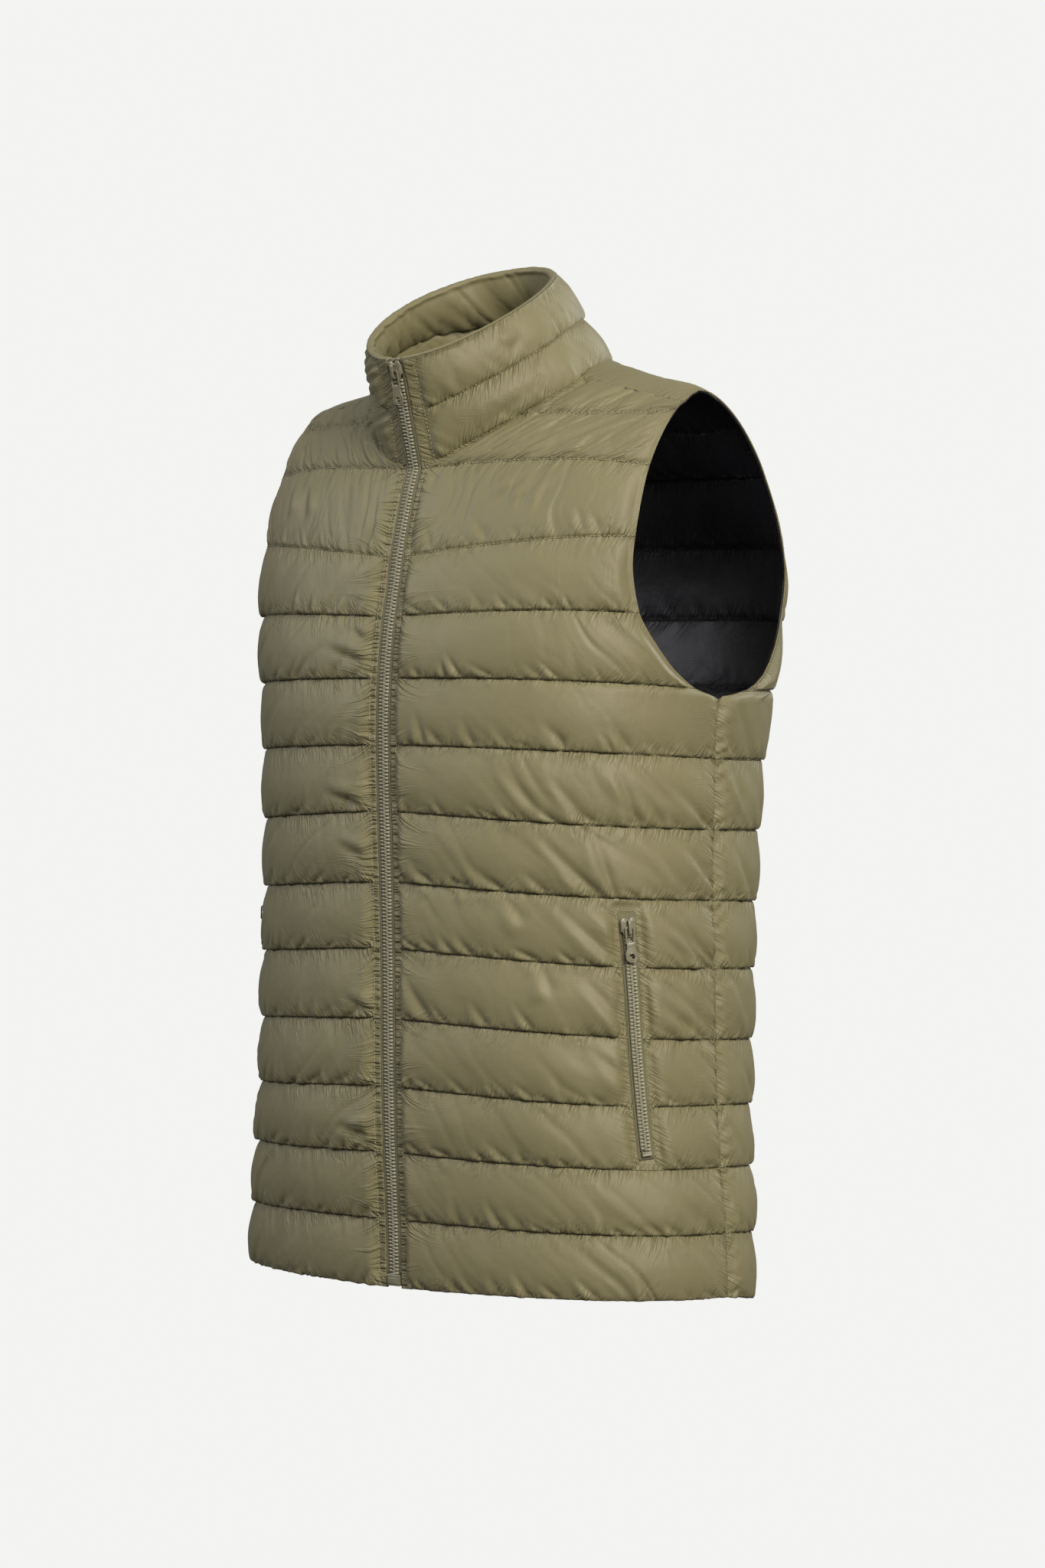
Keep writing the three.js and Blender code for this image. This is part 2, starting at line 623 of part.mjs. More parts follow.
/** The slider: front plate, core, bridge for the pull and, where it grips both tapes, a back plate. */
function sliderGeometry(chain, hasBack) {
  const { halfWidth, length, plate: thick, corner, core, neck, backInset } = SLIDER;
  const low = -length / 2;
  const high = length / 2;
  const face = chain.outer + GAP; // inner face of the front plate, measured out from the sewing surface
  const back = hasBack ? chain.inner - GAP : chain.inner;
  const coreBack = hasBack ? back - WELD : back;
  const front = solid(plate(halfWidth, low, high, corner, thick).translate(0, -face, 0));
  const middle = solid(block(-core / 2, core / 2, -face - WELD, -coreBack, -neck, high));
  const bridge = solid(bridgeGeometry().translate(0, -face - thick, 0));
  let body = front.add(middle).add(bridge);
  if (hasBack) {
    const behind = plate(halfWidth - backInset, low, high, corner, thick).translate(0, thick - back, 0);
    body = body.add(solid(behind));
  }
  return geometryOf(body);
}

/** The pull tab: a long eye round the slider's bridge and a round hole; the pivot is its origin. */
function pullGeometry() {
  const { halfWidth, length, thickness, corner } = PULL;
  const { halfWidth: half, near, far, corner: round } = PULL_EYE;
  const eye = roundedOutline(new THREE.Path(), -half, half, -far, -near, round);
  const hole = new THREE.Path().absarc(0, PULL_HOLE.fromEnd - length, PULL_HOLE.radius, 0, Math.PI * 2);
  const pull = plate(halfWidth, -length, near, corner, thickness, [eye, hole]);
  return pull.translate(0, thickness / 2, 0);
}

/** How far out from the sewing surface the pull's pivot lies: midway in the bridge's opening. */
function pivotHeight(chain) {
  return chain.outer + GAP + SLIDER.plate + BRIDGE.opening / 2;
}

// ---- The pocket zips ----
/** Place and axes of the pocket line a share of the way down, on the wearer's left. */
function pocketFrame(share) {
  const at = (s) => {
    const z = lerp(POCKET.top, POCKET.bottom, s);
    const x = turnedX(lerp(POCKET.topTurn, POCKET.bottomTurn, s), z);
    return new THREE.Vector3(x, sheetDepth(x, z, -1), z);
  };
  const place = at(share);
  const up = at(share - 0.01).sub(at(share + 0.01)).normalize();
  const normal = outward(place);
  normal.addScaledVector(up, -normal.dot(up)).normalize();
  return { place, up, normal, across: new THREE.Vector3().crossVectors(up, normal).normalize() };
}

/** A strip along the pocket line, with half a width and two offsets, between two shares of its length. */
function pocketStrip({ halfWidth, inner, outer }, from, to, steps) {
  const grid = [];
  for (let i = 0; i <= steps; i++) {
    const { place, normal, across } = pocketFrame(lerp(from, to, i / steps));
    const edge = (x) => sewingPoint(place.clone().addScaledVector(across, x), 0, normal);
    grid.push([edge(-halfWidth), edge(halfWidth)]);
  }
  return wall(grid, () => outer, () => inner);
}

// ---- The vest ----
const vest = new THREE.Group();

/** Adds a named piece to a group. */
function add(name, geometry, look, group = vest) {
  const { color, roughness, metalness } = look;
  const mesh = new THREE.Mesh(geometry, new THREE.MeshStandardMaterial({ color, roughness, metalness }));
  mesh.name = name;
  group.add(mesh);
  return mesh;
}

function addCloth() {
  const front = frontGrid();
  const { overrun } = POCKET_SLOT;
  const slot = solid(pocketStrip(POCKET_SLOT, -overrun, 1 + overrun, POCKET.steps));
  const frontShell = geometryOf(solid(wall(front, shellFace, sewingFace)).subtract(slot));
  add("front_left", frontShell, SHELL_FINISH);
  add("front_right", mirrored(frontShell), SHELL_FINISH);
  const frontLining = wall(front, clearedFace, liningFace);
  add("lining_front_left", frontLining, LINING_FINISH);
  add("lining_front_right", mirrored(frontLining), LINING_FINISH);
  const back = backGrid();
  add("back", wall(back, shellFace, sewingFace), SHELL_FINISH);
  add("lining_back", wall(back, clearedFace, liningFace), LINING_FINISH);
  const collar = collarGrid();
  add("collar", wall(collar, shellFace, sewingFace), SHELL_FINISH);
  add("collar_facing", wall(collar, clearedFace, liningFace), SHELL_FINISH);
}

/** A group whose -Y faces along a normal and whose +Z runs along a zip. */
function zipFrame(place, up, normal) {
  const group = new THREE.Group();
  const back = normal.clone().negate();
  const basis = new THREE.Matrix4().makeBasis(new THREE.Vector3().crossVectors(back, up), back, up);
  group.applyMatrix4(basis.setPosition(place));
  vest.add(group);
  return group;
}

/** A slider and its pull in a group of their own. */
function addSlider(name, pullName, group, chain, hasBack) {
  add(name, sliderGeometry(chain, hasBack), METAL_FINISH, group);
  add(pullName, pullGeometry(), METAL_FINISH, group).position.y = -pivotHeight(chain);
}

function addFrontZip() {
  const top = COLLAR.frontTop;
  const boxTop = HEM_FRONT + ZIP_BOX.top;
  const tapeBottom = boxTop + GAP;
  const middle = top - SLIDER_DROP;
  const chainTop = middle - SLIDER.neck - GAP;
  const tapeInner = CHAIN_HALF + GAP;
  add("zip_tape_left", zipStrip(tapeInner, TAPE_OUTER, tapeBottom, top, TAPE), TAPE_FINISH);
  add("zip_tape_right", zipStrip(-TAPE_OUTER, -tapeInner, tapeBottom, top, TAPE), TAPE_FINISH);
  add("zip_chain", zipStrip(-CHAIN_HALF, CHAIN_HALF, tapeBottom, chainTop, CHAIN), TEETH_FINISH);
  const box = zipStrip(-ZIP_BOX.halfWidth, ZIP_BOX.halfWidth, HEM_FRONT + ZIP_BOX.bottom, boxTop, ZIP_BOX);
  add("zip_box", box, METAL_FINISH);
  const { nearEdge } = TOP_STOP;
  const stop = zipStrip(nearEdge, CHAIN_HALF, middle + TOP_STOP.bottom, middle + TOP_STOP.top, CHAIN);
  add("zip_top_stop_left", stop, METAL_FINISH);
  add("zip_top_stop_right", mirrored(stop), METAL_FINISH);
  const up = new THREE.Vector3(0, zipDepth(middle + 1) - zipDepth(middle - 1), 2).normalize();
  const normal = new THREE.Vector3(0, -up.z, up.y);
  const group = zipFrame(new THREE.Vector3(0, zipDepth(middle), middle), up, normal);
  addSlider("zip_slider", "zip_pull", group, CHAIN, true);
}

function addPocketZips() {
  const length = POCKET.top - POCKET.bottom;
  const chainStart = POCKET_CHAIN.topMargin / length;
  const chainEnd = 1 - POCKET_CHAIN.bottomMargin / length;
  const stopStart = chainEnd + GAP / length;
  const stopEnd = 1 - POCKET_STOP.bottomMargin / length;
  const stopForm = { ...POCKET_STOP, halfWidth: POCKET_CHAIN.halfWidth };
  const pieces = {
    tape: [pocketStrip(POCKET_TAPE, 0, 1, POCKET.steps), TAPE_FINISH],
    chain: [pocketStrip(POCKET_CHAIN, chainStart, chainEnd, POCKET.steps), TEETH_FINISH],
    stop: [pocketStrip(stopForm, stopStart, stopEnd, 1), METAL_FINISH],
  };
  for (const [part, [geometry, look]] of Object.entries(pieces)) {
    add(`pocket_${part}_left`, geometry, look);
    add(`pocket_${part}_right`, mirrored(geometry), look);
  }
  const { place, up, normal } = pocketFrame(chainStart - (SLIDER.neck + GAP) / length);
  for (const [side, sign] of [["left", 1], ["right", -1]]) {
    const flip = (v) => v.clone().multiply(new THREE.Vector3(sign, 1, 1));
    const group = zipFrame(flip(place), flip(up), flip(normal));
    addSlider(`pocket_slider_${side}`, `pocket_pull_${side}`, group, POCKET_CHAIN, false);
  }
}

addCloth();
addFrontZip();
addPocketZips();

export default vest;
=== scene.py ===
"""A padded vest as it is worn: quilted shell and lining, stand collar, front zip and two zipped pockets.

Sizes inside the classes are in millimetres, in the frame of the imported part: +Z up, -Y out of the front,
+X towards the wearer's left. Meshes are made in metres.
"""
import sys
import logging
import math
from dataclasses import dataclass, field
from enum import Enum
from typing import Any, Callable, Optional, Sequence

import bmesh
import bpy
import numpy as np
from mathutils import Matrix, Vector


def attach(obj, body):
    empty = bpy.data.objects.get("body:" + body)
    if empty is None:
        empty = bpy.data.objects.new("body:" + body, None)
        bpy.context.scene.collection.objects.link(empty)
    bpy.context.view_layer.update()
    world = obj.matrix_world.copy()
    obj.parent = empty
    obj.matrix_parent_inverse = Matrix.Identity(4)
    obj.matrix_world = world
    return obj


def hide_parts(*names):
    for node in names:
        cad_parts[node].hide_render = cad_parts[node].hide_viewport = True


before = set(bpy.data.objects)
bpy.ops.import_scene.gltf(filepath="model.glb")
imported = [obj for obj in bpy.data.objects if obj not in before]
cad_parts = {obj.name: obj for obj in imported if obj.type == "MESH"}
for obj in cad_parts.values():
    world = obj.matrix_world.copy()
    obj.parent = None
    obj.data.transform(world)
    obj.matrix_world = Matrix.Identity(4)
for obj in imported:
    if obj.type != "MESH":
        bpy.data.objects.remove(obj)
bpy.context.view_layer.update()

MM = 0.001
log = logging.getLogger("vest")
Array = np.ndarray
Mesh = tuple[Array, list]  # vertices and faces
Pieces = dict[str, bpy.types.Object]
Outline = list[tuple[float, float]]


# ---- Tables of the cut ----
# Level sections of the sewing surface, where shell, wadding and lining are stitched together.
SECTION_COLUMNS = ("z", "half_width", "front", "back")
SECTIONS = (
    (-660, 200, 118, 88), (-590, 197, 121, 95), (-530, 190, 126, 103), (-470, 186, 129, 111),
    (-410, 184, 131, 116), (-350, 181, 134, 125), (-290, 181, 138, 133), (-230, 182, 140, 144),
    (-180, 188, 137, 155), (-137, 194, 130, 157), (-100, 196, 128, 154), (-60, 196, 130, 152),
    (80, 196, 130, 152),
)

# Quilt lines from the hem up: heights at the zip, at the side and at the centre of the back, and how far
# each front line bows up between its ends.
LINE_COLUMNS = ("zip", "side", "back", "bow")
QUILT_LINES = (
    (-634, -633, -645, 1), (-586, -589, -594, 0), (-539, -544, -548, -1), (-493, -501, -505, -2),
    (-446, -456, -460, -1), (-397, -407, -410, -2), (-351, -360, -363, -2), (-302, -311, -312, -2),
    (-256, -262, -262, 0), (-210, -214, -210, 1), (-167, -164, -158, 2), (-125, -112, -106, 3),
    (-63, -63, -57, 4),
)
LEVEL = len(QUILT_LINES) - 1  # number of the last level line, where the collar seam meets the zip

# The armhole's edges: height, and how far round each section the edge lies, 90 being the side.
ARMHOLE_COLUMNS = ("z", "front", "back")
ARMHOLE = (
    (-221, 90, 90), (-214, 83, 80), (-205, 77, 72.5), (-197, 73, 68.5), (-179, 66, 62), (-164, 61.5, 58.5),
    (-138, 57.5, 56.5), (-112, 56.5, 56.5), (-64, 56.5, 57.5), (-24, 57.5, 58.5), (-8, 58.5, 58.8),
)

# The front's rows above the collar seam: x and height of the neck end, height at the armhole, and bow.
NECK_ROWS = (
    (27, -52, -50, 3), (48, -38, -37, 0), (67, -24, -24, -2), (79, -11, -22, 0), (85.5, -2, -19.6, 0),
)
SHOULDER_SEAM_TURN = 70  # how far over the shoulder arch the seam lies, 90 being the ridge
SEAM_NECK_END = 84  # distance of the shoulder seam's neck end from the centre
SHOULDER_TIP = 173

# The back's rows above its last level line: turns over the arch at the armhole and at the centre.
YOKE_ROWS = ((45, 36), (60, 45), (76, 53), (93, 60))
# The back neckline in plan, by its share of the way from the centre to the armhole.
BACK_NECK_COLUMNS = ("share", "x", "y")
BACK_NECK = ((0, 0, 56), (0.11, 33, 49), (0.21, 62, 26), (0.32, 79, -1))
SEAM_SHARE = 0.42  # where the back's top row passes from the neckline to the shoulder seam

FRONT_EDGE = 6.7  # where each front begins, beside its zip tape
SPACING_LINE = 4.5  # line number of the level along which the columns are spaced
SIDE_SEAM_TOP = -225.0  # height below which the side seam gathers the cloth
SHELL_FLAT, SHELL_PUFF = 1.0, 5.0  # thickness of shell and wadding at a stitch, and how much more at a crest
LINING_GAP, LINING_FLAT, LINING_PUFF = 0.3, 0.8, 2.7


# ---- Numbers ----
def column(table: Sequence[Sequence[float]], names: Sequence[str], name: str) -> Array:
    """The column of a table that has this name."""
    return np.array([row[names.index(name)] for row in table], float)


def along(keys: Array, values: Array, at: Array, free_ends: bool = False) -> Array:
    """Smooth values between the rows of a table, constant past both ends.

    Args:
        keys: rising positions of the rows.
        values: the values there, one for each key, or an array for each key.
        at: the positions wanted.
        free_ends: whether the curve keeps its slope at its ends instead of levelling out.

    Returns:
        The values at those positions.
    """
    keys, values = np.asarray(keys, float), np.asarray(values, float)
    at = np.clip(np.asarray(at, float), keys[0], keys[-1])
    row = np.clip(np.searchsorted(keys, at, side="right") - 1, 0, len(keys) - 2)
    wide = (slice(None),) + (None,) * (values.ndim - 1)
    slopes = np.zeros_like(values)
    slopes[1:-1] = (values[2:] - values[:-2]) / (keys[2:] - keys[:-2])[wide]
    if free_ends:
        slopes[0] = (values[1] - values[0]) / (keys[1] - keys[0])
        slopes[-1] = (values[-1] - values[-2]) / (keys[-1] - keys[-2])
    spread = at.shape + (1,) * (values.ndim - 1)
    span = (keys[row + 1] - keys[row]).reshape(spread)
    t = ((at - keys[row]) / (keys[row + 1] - keys[row])).reshape(spread)
    rise = values[row + 1] - values[row]
    bend = (1 - t) * (slopes[row] * span - rise) - t * (slopes[row + 1] * span - rise)
    return values[row] + t * rise + t * (1 - t) * bend


def mix(low: Any, high: Any, share: Any) -> Any:
    """The value a share of the way from low to high."""
    return low + (high - low) * share


def smooth_step(low: float, high: float, at: Array) -> Array:
    """0 below low, 1 above high, and smooth between."""
    t = np.clip((at - low) / (high - low), 0, 1)
    return t * t * (3 - 2 * t)


def cloud(a: Array, b: Array, size: float, seed: int) -> Array:
    """Soft seeded noise from -1 to 1 over two coordinates.

    Args:
        a: first coordinate.
        b: second coordinate.
        size: distance between its independent values.
        seed: which noise.

    Returns:
        The noise, in the shape of a and b together.
    """
    lattice = np.random.default_rng(seed).uniform(-1, 1, (64, 64))
    i, j = np.floor(a / size).astype(int), np.floor(b / size).astype(int)
    fa, fb = a / size - i, b / size - j
    fa, fb = fa * fa * (3 - 2 * fa), fb * fb * (3 - 2 * fb)
    low = mix(lattice[i % 64, j % 64], lattice[(i + 1) % 64, j % 64], fa)
    high = mix(lattice[i % 64, (j + 1) % 64], lattice[(i + 1) % 64, (j + 1) % 64], fa)
    return mix(low, high, fb)


def unit(vectors: Array) -> Array:
    """Vectors of length 1 in the same directions."""
    return vectors / np.maximum(np.linalg.norm(vectors, axis=-1, keepdims=True), 1e-9)


def path_lengths(path: Array) -> Array:
    """Distance of each point of a path from its first, along it."""
    return np.concatenate([[0], np.cumsum(np.linalg.norm(np.diff(path, axis=0), axis=1))])


def on_path(values: Array, lengths: Array, at: Array) -> Array:
    """Vectors that are given at distances along a path, read at other distances."""
    return np.stack([np.interp(at, lengths, values[:, k]) for k in range(3)], -1)


def face_normals(points: Array) -> Array:
    """Outward directions of a grid of points, rows by columns."""
    return unit(np.cross(np.gradient(points, axis=1), np.gradient(points, axis=0)))


def nearest(values: Array, target: float) -> int:
    """Number of the value that is nearest to a target."""
    return int(np.argmin(np.abs(values - target)))


def pleats(at: Array, width: float) -> Array:
    """Rounded pleats of a width, with sharp troughs between them."""
    return np.abs(np.sin(np.pi * at / width)) ** 0.7 - 0.6


def steps_of(*stretches: tuple[float, float]) -> Array:
    """Positions from 0 along stretches, each a length and the spacing wanted in it."""
    marks = [0.0]
    for length, spacing in stretches:
        count = max(1, round(length / spacing))
        marks += [marks[-1] + length * (k + 1) / count for k in range(count)]
    return np.array(marks)


# ---- The sewing surface ----
class Side(Enum):
    """Front or back of the garment, with the sign of y there."""

    FRONT = -1
    BACK = 1

    @property
    def column(self) -> str:
        """The name of its column in the tables of the cut."""
        return self.name.lower()


@dataclass(frozen=True)
class SewingSurface:
    """The surface where the layers are stitched: level sections, then an arch over the shoulders."""

    squareness: float = 2.5
    arch_start: float = -137.0
    arch_power: float = 1.7
    tip_height: float = -8.0
    ridge_slope: float = 0.15
    ridge_bend: float = 0.00107
    ridge_depth_centre: float = 13.0
    ridge_swing: float = 0.13

    def section(self, name: str, z: Array) -> Array:
        """A size of the level section at each height."""
        return along(column(SECTIONS, SECTION_COLUMNS, "z"), column(SECTIONS, SECTION_COLUMNS, name), z)

    def ridge_height(self, x: Array) -> Array:
        """Height of the shoulder ridge."""
        inward = SHOULDER_TIP - np.abs(x)
        return self.tip_height + self.ridge_slope * inward + self.ridge_bend * inward ** 2

    def ridge_depth(self, x: Array) -> Array:
        """Distance of the shoulder ridge behind the middle."""
        return self.ridge_depth_centre - self.ridge_swing * np.abs(x)

    def sheet_reach(self, x: Array, z: Array, side: Side) -> Array:
        """Depth of a section before it leans in over the shoulder."""
        full = np.maximum(0, 1 - (np.abs(x) / self.section("half_width", z)) ** self.squareness)
        return side.value * self.section(side.column, z) * full ** (1 / self.squareness)

    def climbed(self, x: Array, z: Array) -> Array:
        """How far up the shoulder arch a point at x and height z is, from 0 to 1."""
        return np.clip((z - self.arch_start) / (self.ridge_height(x) - self.arch_start), 0, 1)

    def depth(self, x: Array, z: Array, side: Side) -> Array:
        """Depth y of the front or back sheet at x and height z."""
        lean = (1 - self.climbed(x, z) ** self.arch_power) ** (1 / self.arch_power)
        return self.sheet_reach(x, z, side) * lean + self.ridge_depth(x) * (1 - lean)

    def arch(self, x: Array, turn: Array, side: Side) -> Array:
        """Points over the shoulder arch: a turn of 0 is its foot on this side and 90 is its ridge."""
        over = turn > 90
        angle = np.radians(np.clip(np.where(over, 180 - turn, turn), 0, 90))
        climbed, lean = np.sin(angle) ** (2 / self.arch_power), np.cos(angle) ** (2 / self.arch_power)
        z = self.arch_start + (self.ridge_height(x) - self.arch_start) * climbed
        other = Side.BACK if side is Side.FRONT else Side.FRONT
        reach = np.where(over, self.sheet_reach(x, z, other), self.sheet_reach(x, z, side))
        return np.stack([x, reach * lean + self.ridge_depth(x) * (1 - lean), z], -1)

    def arch_turn(self, x: Array, z: Array) -> Array:
        """The turn over the arch of a point at x and height z, on its own side of the ridge."""
        return np.degrees(np.arcsin(self.climbed(x, z) ** (self.arch_power / 2)))

    def crown_turn(self, x: Array, y: Array, side: Side) -> Array:
        """The turn over the arch of the point above a place in plan, found by halving."""
        low, high = np.zeros_like(x), np.full_like(x, 180.0)
        for _ in range(40):
            middle = (low + high) / 2
            short = (self.arch(x, middle, side)[..., 1] - y) * side.value > 0
            low, high = np.where(short, middle, low), np.where(short, high, middle)
        return low

    def turned_x(self, turn: Array, z: Array) -> Array:
        """Distance x from the centre at a turn round the level section."""
        sine = np.sin(np.radians(np.clip(turn, 0, 90)))
        return self.section("half_width", z) * sine ** (2 / self.squareness)

    def turn_at(self, x: Array, z: Array) -> Array:
        """The turn round the level section of a point at x."""
        share = np.clip(np.abs(x) / self.section("half_width", z), 0, 1)
        return np.degrees(np.arcsin(share ** (self.squareness / 2)))


SURFACE = SewingSurface()


def line(name: str, at: Array) -> Array:
    """A column of the quilt lines at fractional line numbers."""
    values = column(QUILT_LINES, LINE_COLUMNS, name)
    return np.interp(at, np.arange(len(values)), values)


def edge_turn(z: Array, side: Side) -> Array:
    """The turn at which a sheet ends: the side seam, or the armhole's edge above it."""
    keys = column(ARMHOLE, ARMHOLE_COLUMNS, "z")
    return np.where(z <= keys[0], 90.0, along(keys, column(ARMHOLE, ARMHOLE_COLUMNS, side.column), z))


# ---- Cuts: from line number and share across to a place on the sewing surface ----
@dataclass(frozen=True)
class PocketLine:
    """The line of the wearer's left hand pocket: heights and turns of its ends."""

    top: float = -370.0
    top_turn: float = 61.3
    bottom: float = -537.0
    bottom_turn: float = 65.1

    def turn(self, z: Array) -> Array:
        """Turn of the pocket's line at a height, kept past both ends."""
        share = np.clip((z - self.bottom) / (self.top - self.bottom), 0, 1)
        return mix(self.bottom_turn, self.top_turn, share)


POCKET = PocketLine()
POCKET_SHARE = 0.7  # the share across a front's columns that runs along the pocket


class Cut:
    """A piece of cloth's cut, on the wearer's left or whole."""

    lines: tuple[int, ...] = ()

    def place(self, at: Array, across: Array) -> Array:
        """Points of the sewing surface for line numbers (rows) and shares across (columns)."""
        raise NotImplementedError


class FrontCut(Cut):
    """The wearer's left front: lines 0 to 12 are level, then the neck rows lead to the shoulder seam."""

    lines = tuple(range(LEVEL + 1)) + (LEVEL + 3, LEVEL + 6)

    def place(self, at: Array, across: Array) -> Array:
        """See Cut.place; 0 is the zip or neckline and 1 the side seam or armhole."""
        level = at[at <= LEVEL, None]
        share = np.broadcast_to(across[None, :], (len(level), len(across)))
        rough_z = line("zip", level)
        start = SURFACE.turn_at(FRONT_EDGE, rough_z)
        end = edge_turn(line("side", level), Side.FRONT)
        share = self._along_pocket(share, rough_z, start)
        z = mix(rough_z, line("side", level), share) + 4 * line("bow", level) * share * (1 - share)
        x = SURFACE.turned_x(mix(start, end, share), z)
        flat = np.stack([x, SURFACE.depth(x, z, Side.FRONT), z], -1)
        above = at[at > LEVEL]
        if not len(above):
            return flat
        keys = np.arange(LEVEL, LEVEL + 7)
        chart = along(keys, self._arch_rows(across), above, free_ends=True)
        return np.concatenate([flat, SURFACE.arch(chart[..., 0], chart[..., 1], Side.FRONT)])

    @staticmethod
    def _along_pocket(share: Array, z: Array, start: Array) -> Array:
        """Shares across, shifted so that one column runs along the pocket."""
        here = (POCKET.turn(z) - start) / (90 - start)
        low = share * here / POCKET_SHARE
        high = 1 - (1 - share) * (1 - here) / (1 - POCKET_SHARE)
        return np.where(share < POCKET_SHARE, low, high)

    def _arch_rows(self, across: Array) -> Array:
        """The rows from the last level line to the shoulder seam, as x and turn over the arch."""
        rows = [(FRONT_EDGE, *(line(name, LEVEL) for name in ("zip", "side", "bow")))] + list(NECK_ROWS)
        chart = []
        for x0, z0, side, bow in rows:
            start = SURFACE.turn_at(x0, z0)
            share = self._along_pocket(across, np.array(z0), start)
            z = mix(z0, side, share) + 4 * bow * share * (1 - share)
            x = SURFACE.turned_x(mix(start, edge_turn(side, Side.FRONT), share), z)
            chart.append(np.stack([x, SURFACE.arch_turn(x, z)], -1))
        share = self._along_pocket(across, np.array(0.0), SURFACE.turn_at(SEAM_NECK_END, 0.0))
        seam = mix(SEAM_NECK_END, SHOULDER_TIP, share)
        chart.append(np.stack([seam, np.full_like(seam, SHOULDER_SEAM_TURN)], -1))
        return np.array(chart)


class BackCut(Cut):
    """The whole back, with shares from 1 at the wearer's left to -1 at the right."""

    lines = tuple(range(LEVEL + 1)) + (LEVEL + 2, LEVEL + 5)

    def place(self, at: Array, across: Array) -> Array:
        """See Cut.place."""
        level, share = at[at <= LEVEL, None], np.abs(across)[None, :]
        side = line("side", level)
        z = mix(line("back", level), side, share ** 2)
        x = SURFACE.turned_x(edge_turn(side, Side.BACK) * share, z)
        flat = np.stack([x * np.sign(across), SURFACE.depth(x, z, Side.BACK), z], -1)
        above = at[at > LEVEL]
        if not len(above):
            return flat
        chart = along(np.arange(LEVEL, LEVEL + 6), self._arch_rows(share[0]), above, free_ends=True)
        points = SURFACE.arch(chart[..., 0], chart[..., 1], Side.BACK)
        points[..., 0] *= np.sign(across)
        return np.concatenate([flat, points])

    @staticmethod
    def _arch_rows(share: Array) -> Array:
        """The rows above the last level line, as x and turn over the arch from the back."""
        z = mix(line("back", LEVEL), line("side", LEVEL), share ** 2)
        x = SURFACE.turned_x(edge_turn(line("side", LEVEL), Side.BACK) * share, z)
        chart = [np.stack([x, SURFACE.arch_turn(x, z)], -1)]
        for side, centre in YOKE_ROWS:
            chart.append(np.stack([SHOULDER_TIP * share, mix(centre, side, share ** 1.5)], -1))
        chart.append(BackCut._top_row(share))
        return np.array(chart)

    @staticmethod
    def _top_row(share: Array) -> Array:
        """The neckline and the shoulder seam, as x and turn over the arch from the back."""
        seam = SURFACE.arch(np.array([SEAM_NECK_END]), np.array([180.0 - SHOULDER_SEAM_TURN]), Side.BACK)[0]
        keys = np.append(column(BACK_NECK, BACK_NECK_COLUMNS, "share"), SEAM_SHARE)
        xs = np.append(column(BACK_NECK, BACK_NECK_COLUMNS, "x"), SEAM_NECK_END)
        ys = np.append(column(BACK_NECK, BACK_NECK_COLUMNS, "y"), seam[1])
        neck_x, neck_y = along(keys, xs, share, True), along(keys, ys, share, True)
        neck = np.stack([neck_x, SURFACE.crown_turn(neck_x, neck_y, Side.BACK)], -1)
        tip = np.clip((share - SEAM_SHARE) / (1 - SEAM_SHARE), 0, 1)
        turn = np.full_like(tip, 180.0 - SHOULDER_SEAM_TURN)
        shoulder = np.stack([mix(SEAM_NECK_END, SHOULDER_TIP, tip), turn], -1)
        return np.where((share < SEAM_SHARE)[:, None], neck, shoulder)


class CollarCut(Cut):
    """The whole collar, with shares from 1 at the wearer's left front edge to -1 at the right one."""

    lines = (0, 1, 1.98)
    front_top, back_top, side_rise = 12.0, 88.0, 4.0
    half_width, half_depth, centre_y = 60.0, 70.0, -64.0

    def place(self, at: Array, across: Array) -> Array:
        """See Cut.place; line 0 is the neckline and line 2 the rim."""
        share = 1 - np.abs(across)
        foot, rim = self._neckline(share), self._rim(share)
        points = mix(foot[None], rim[None], (at / 2)[:, None, None])
        points[..., 0] *= np.where(across < 0, -1, 1)
        return points

    @staticmethod
    def _neckline(share: Array) -> Array:
        """The collar seam, from the wearer's left front edge (0) to the centre of the back (1)."""
        front = FrontCut().place(np.linspace(LEVEL, LEVEL + 6, 60), np.array([0.0]))[:, 0]
        back = BackCut().place(np.array([LEVEL + 5.0]), np.linspace(SEAM_SHARE, 0, 60))[0]
        seam = np.concatenate([front, back[1:]])
        lengths = path_lengths(seam)
        return on_path(seam, lengths, share * lengths[-1])

    def _rim(self, share: Array) -> Array:
        """The collar's upper rim over the same shares."""
        angle = mix(math.asin(FRONT_EDGE / self.half_width), math.pi, share)
        z = mix(self.front_top, self.back_top, (1 - np.cos(angle)) / 2) + self.side_rise * np.sin(angle) ** 2
        y = self.centre_y - self.half_depth * np.cos(angle)
        return np.stack([self.half_width * np.sin(angle), y, z], -1)


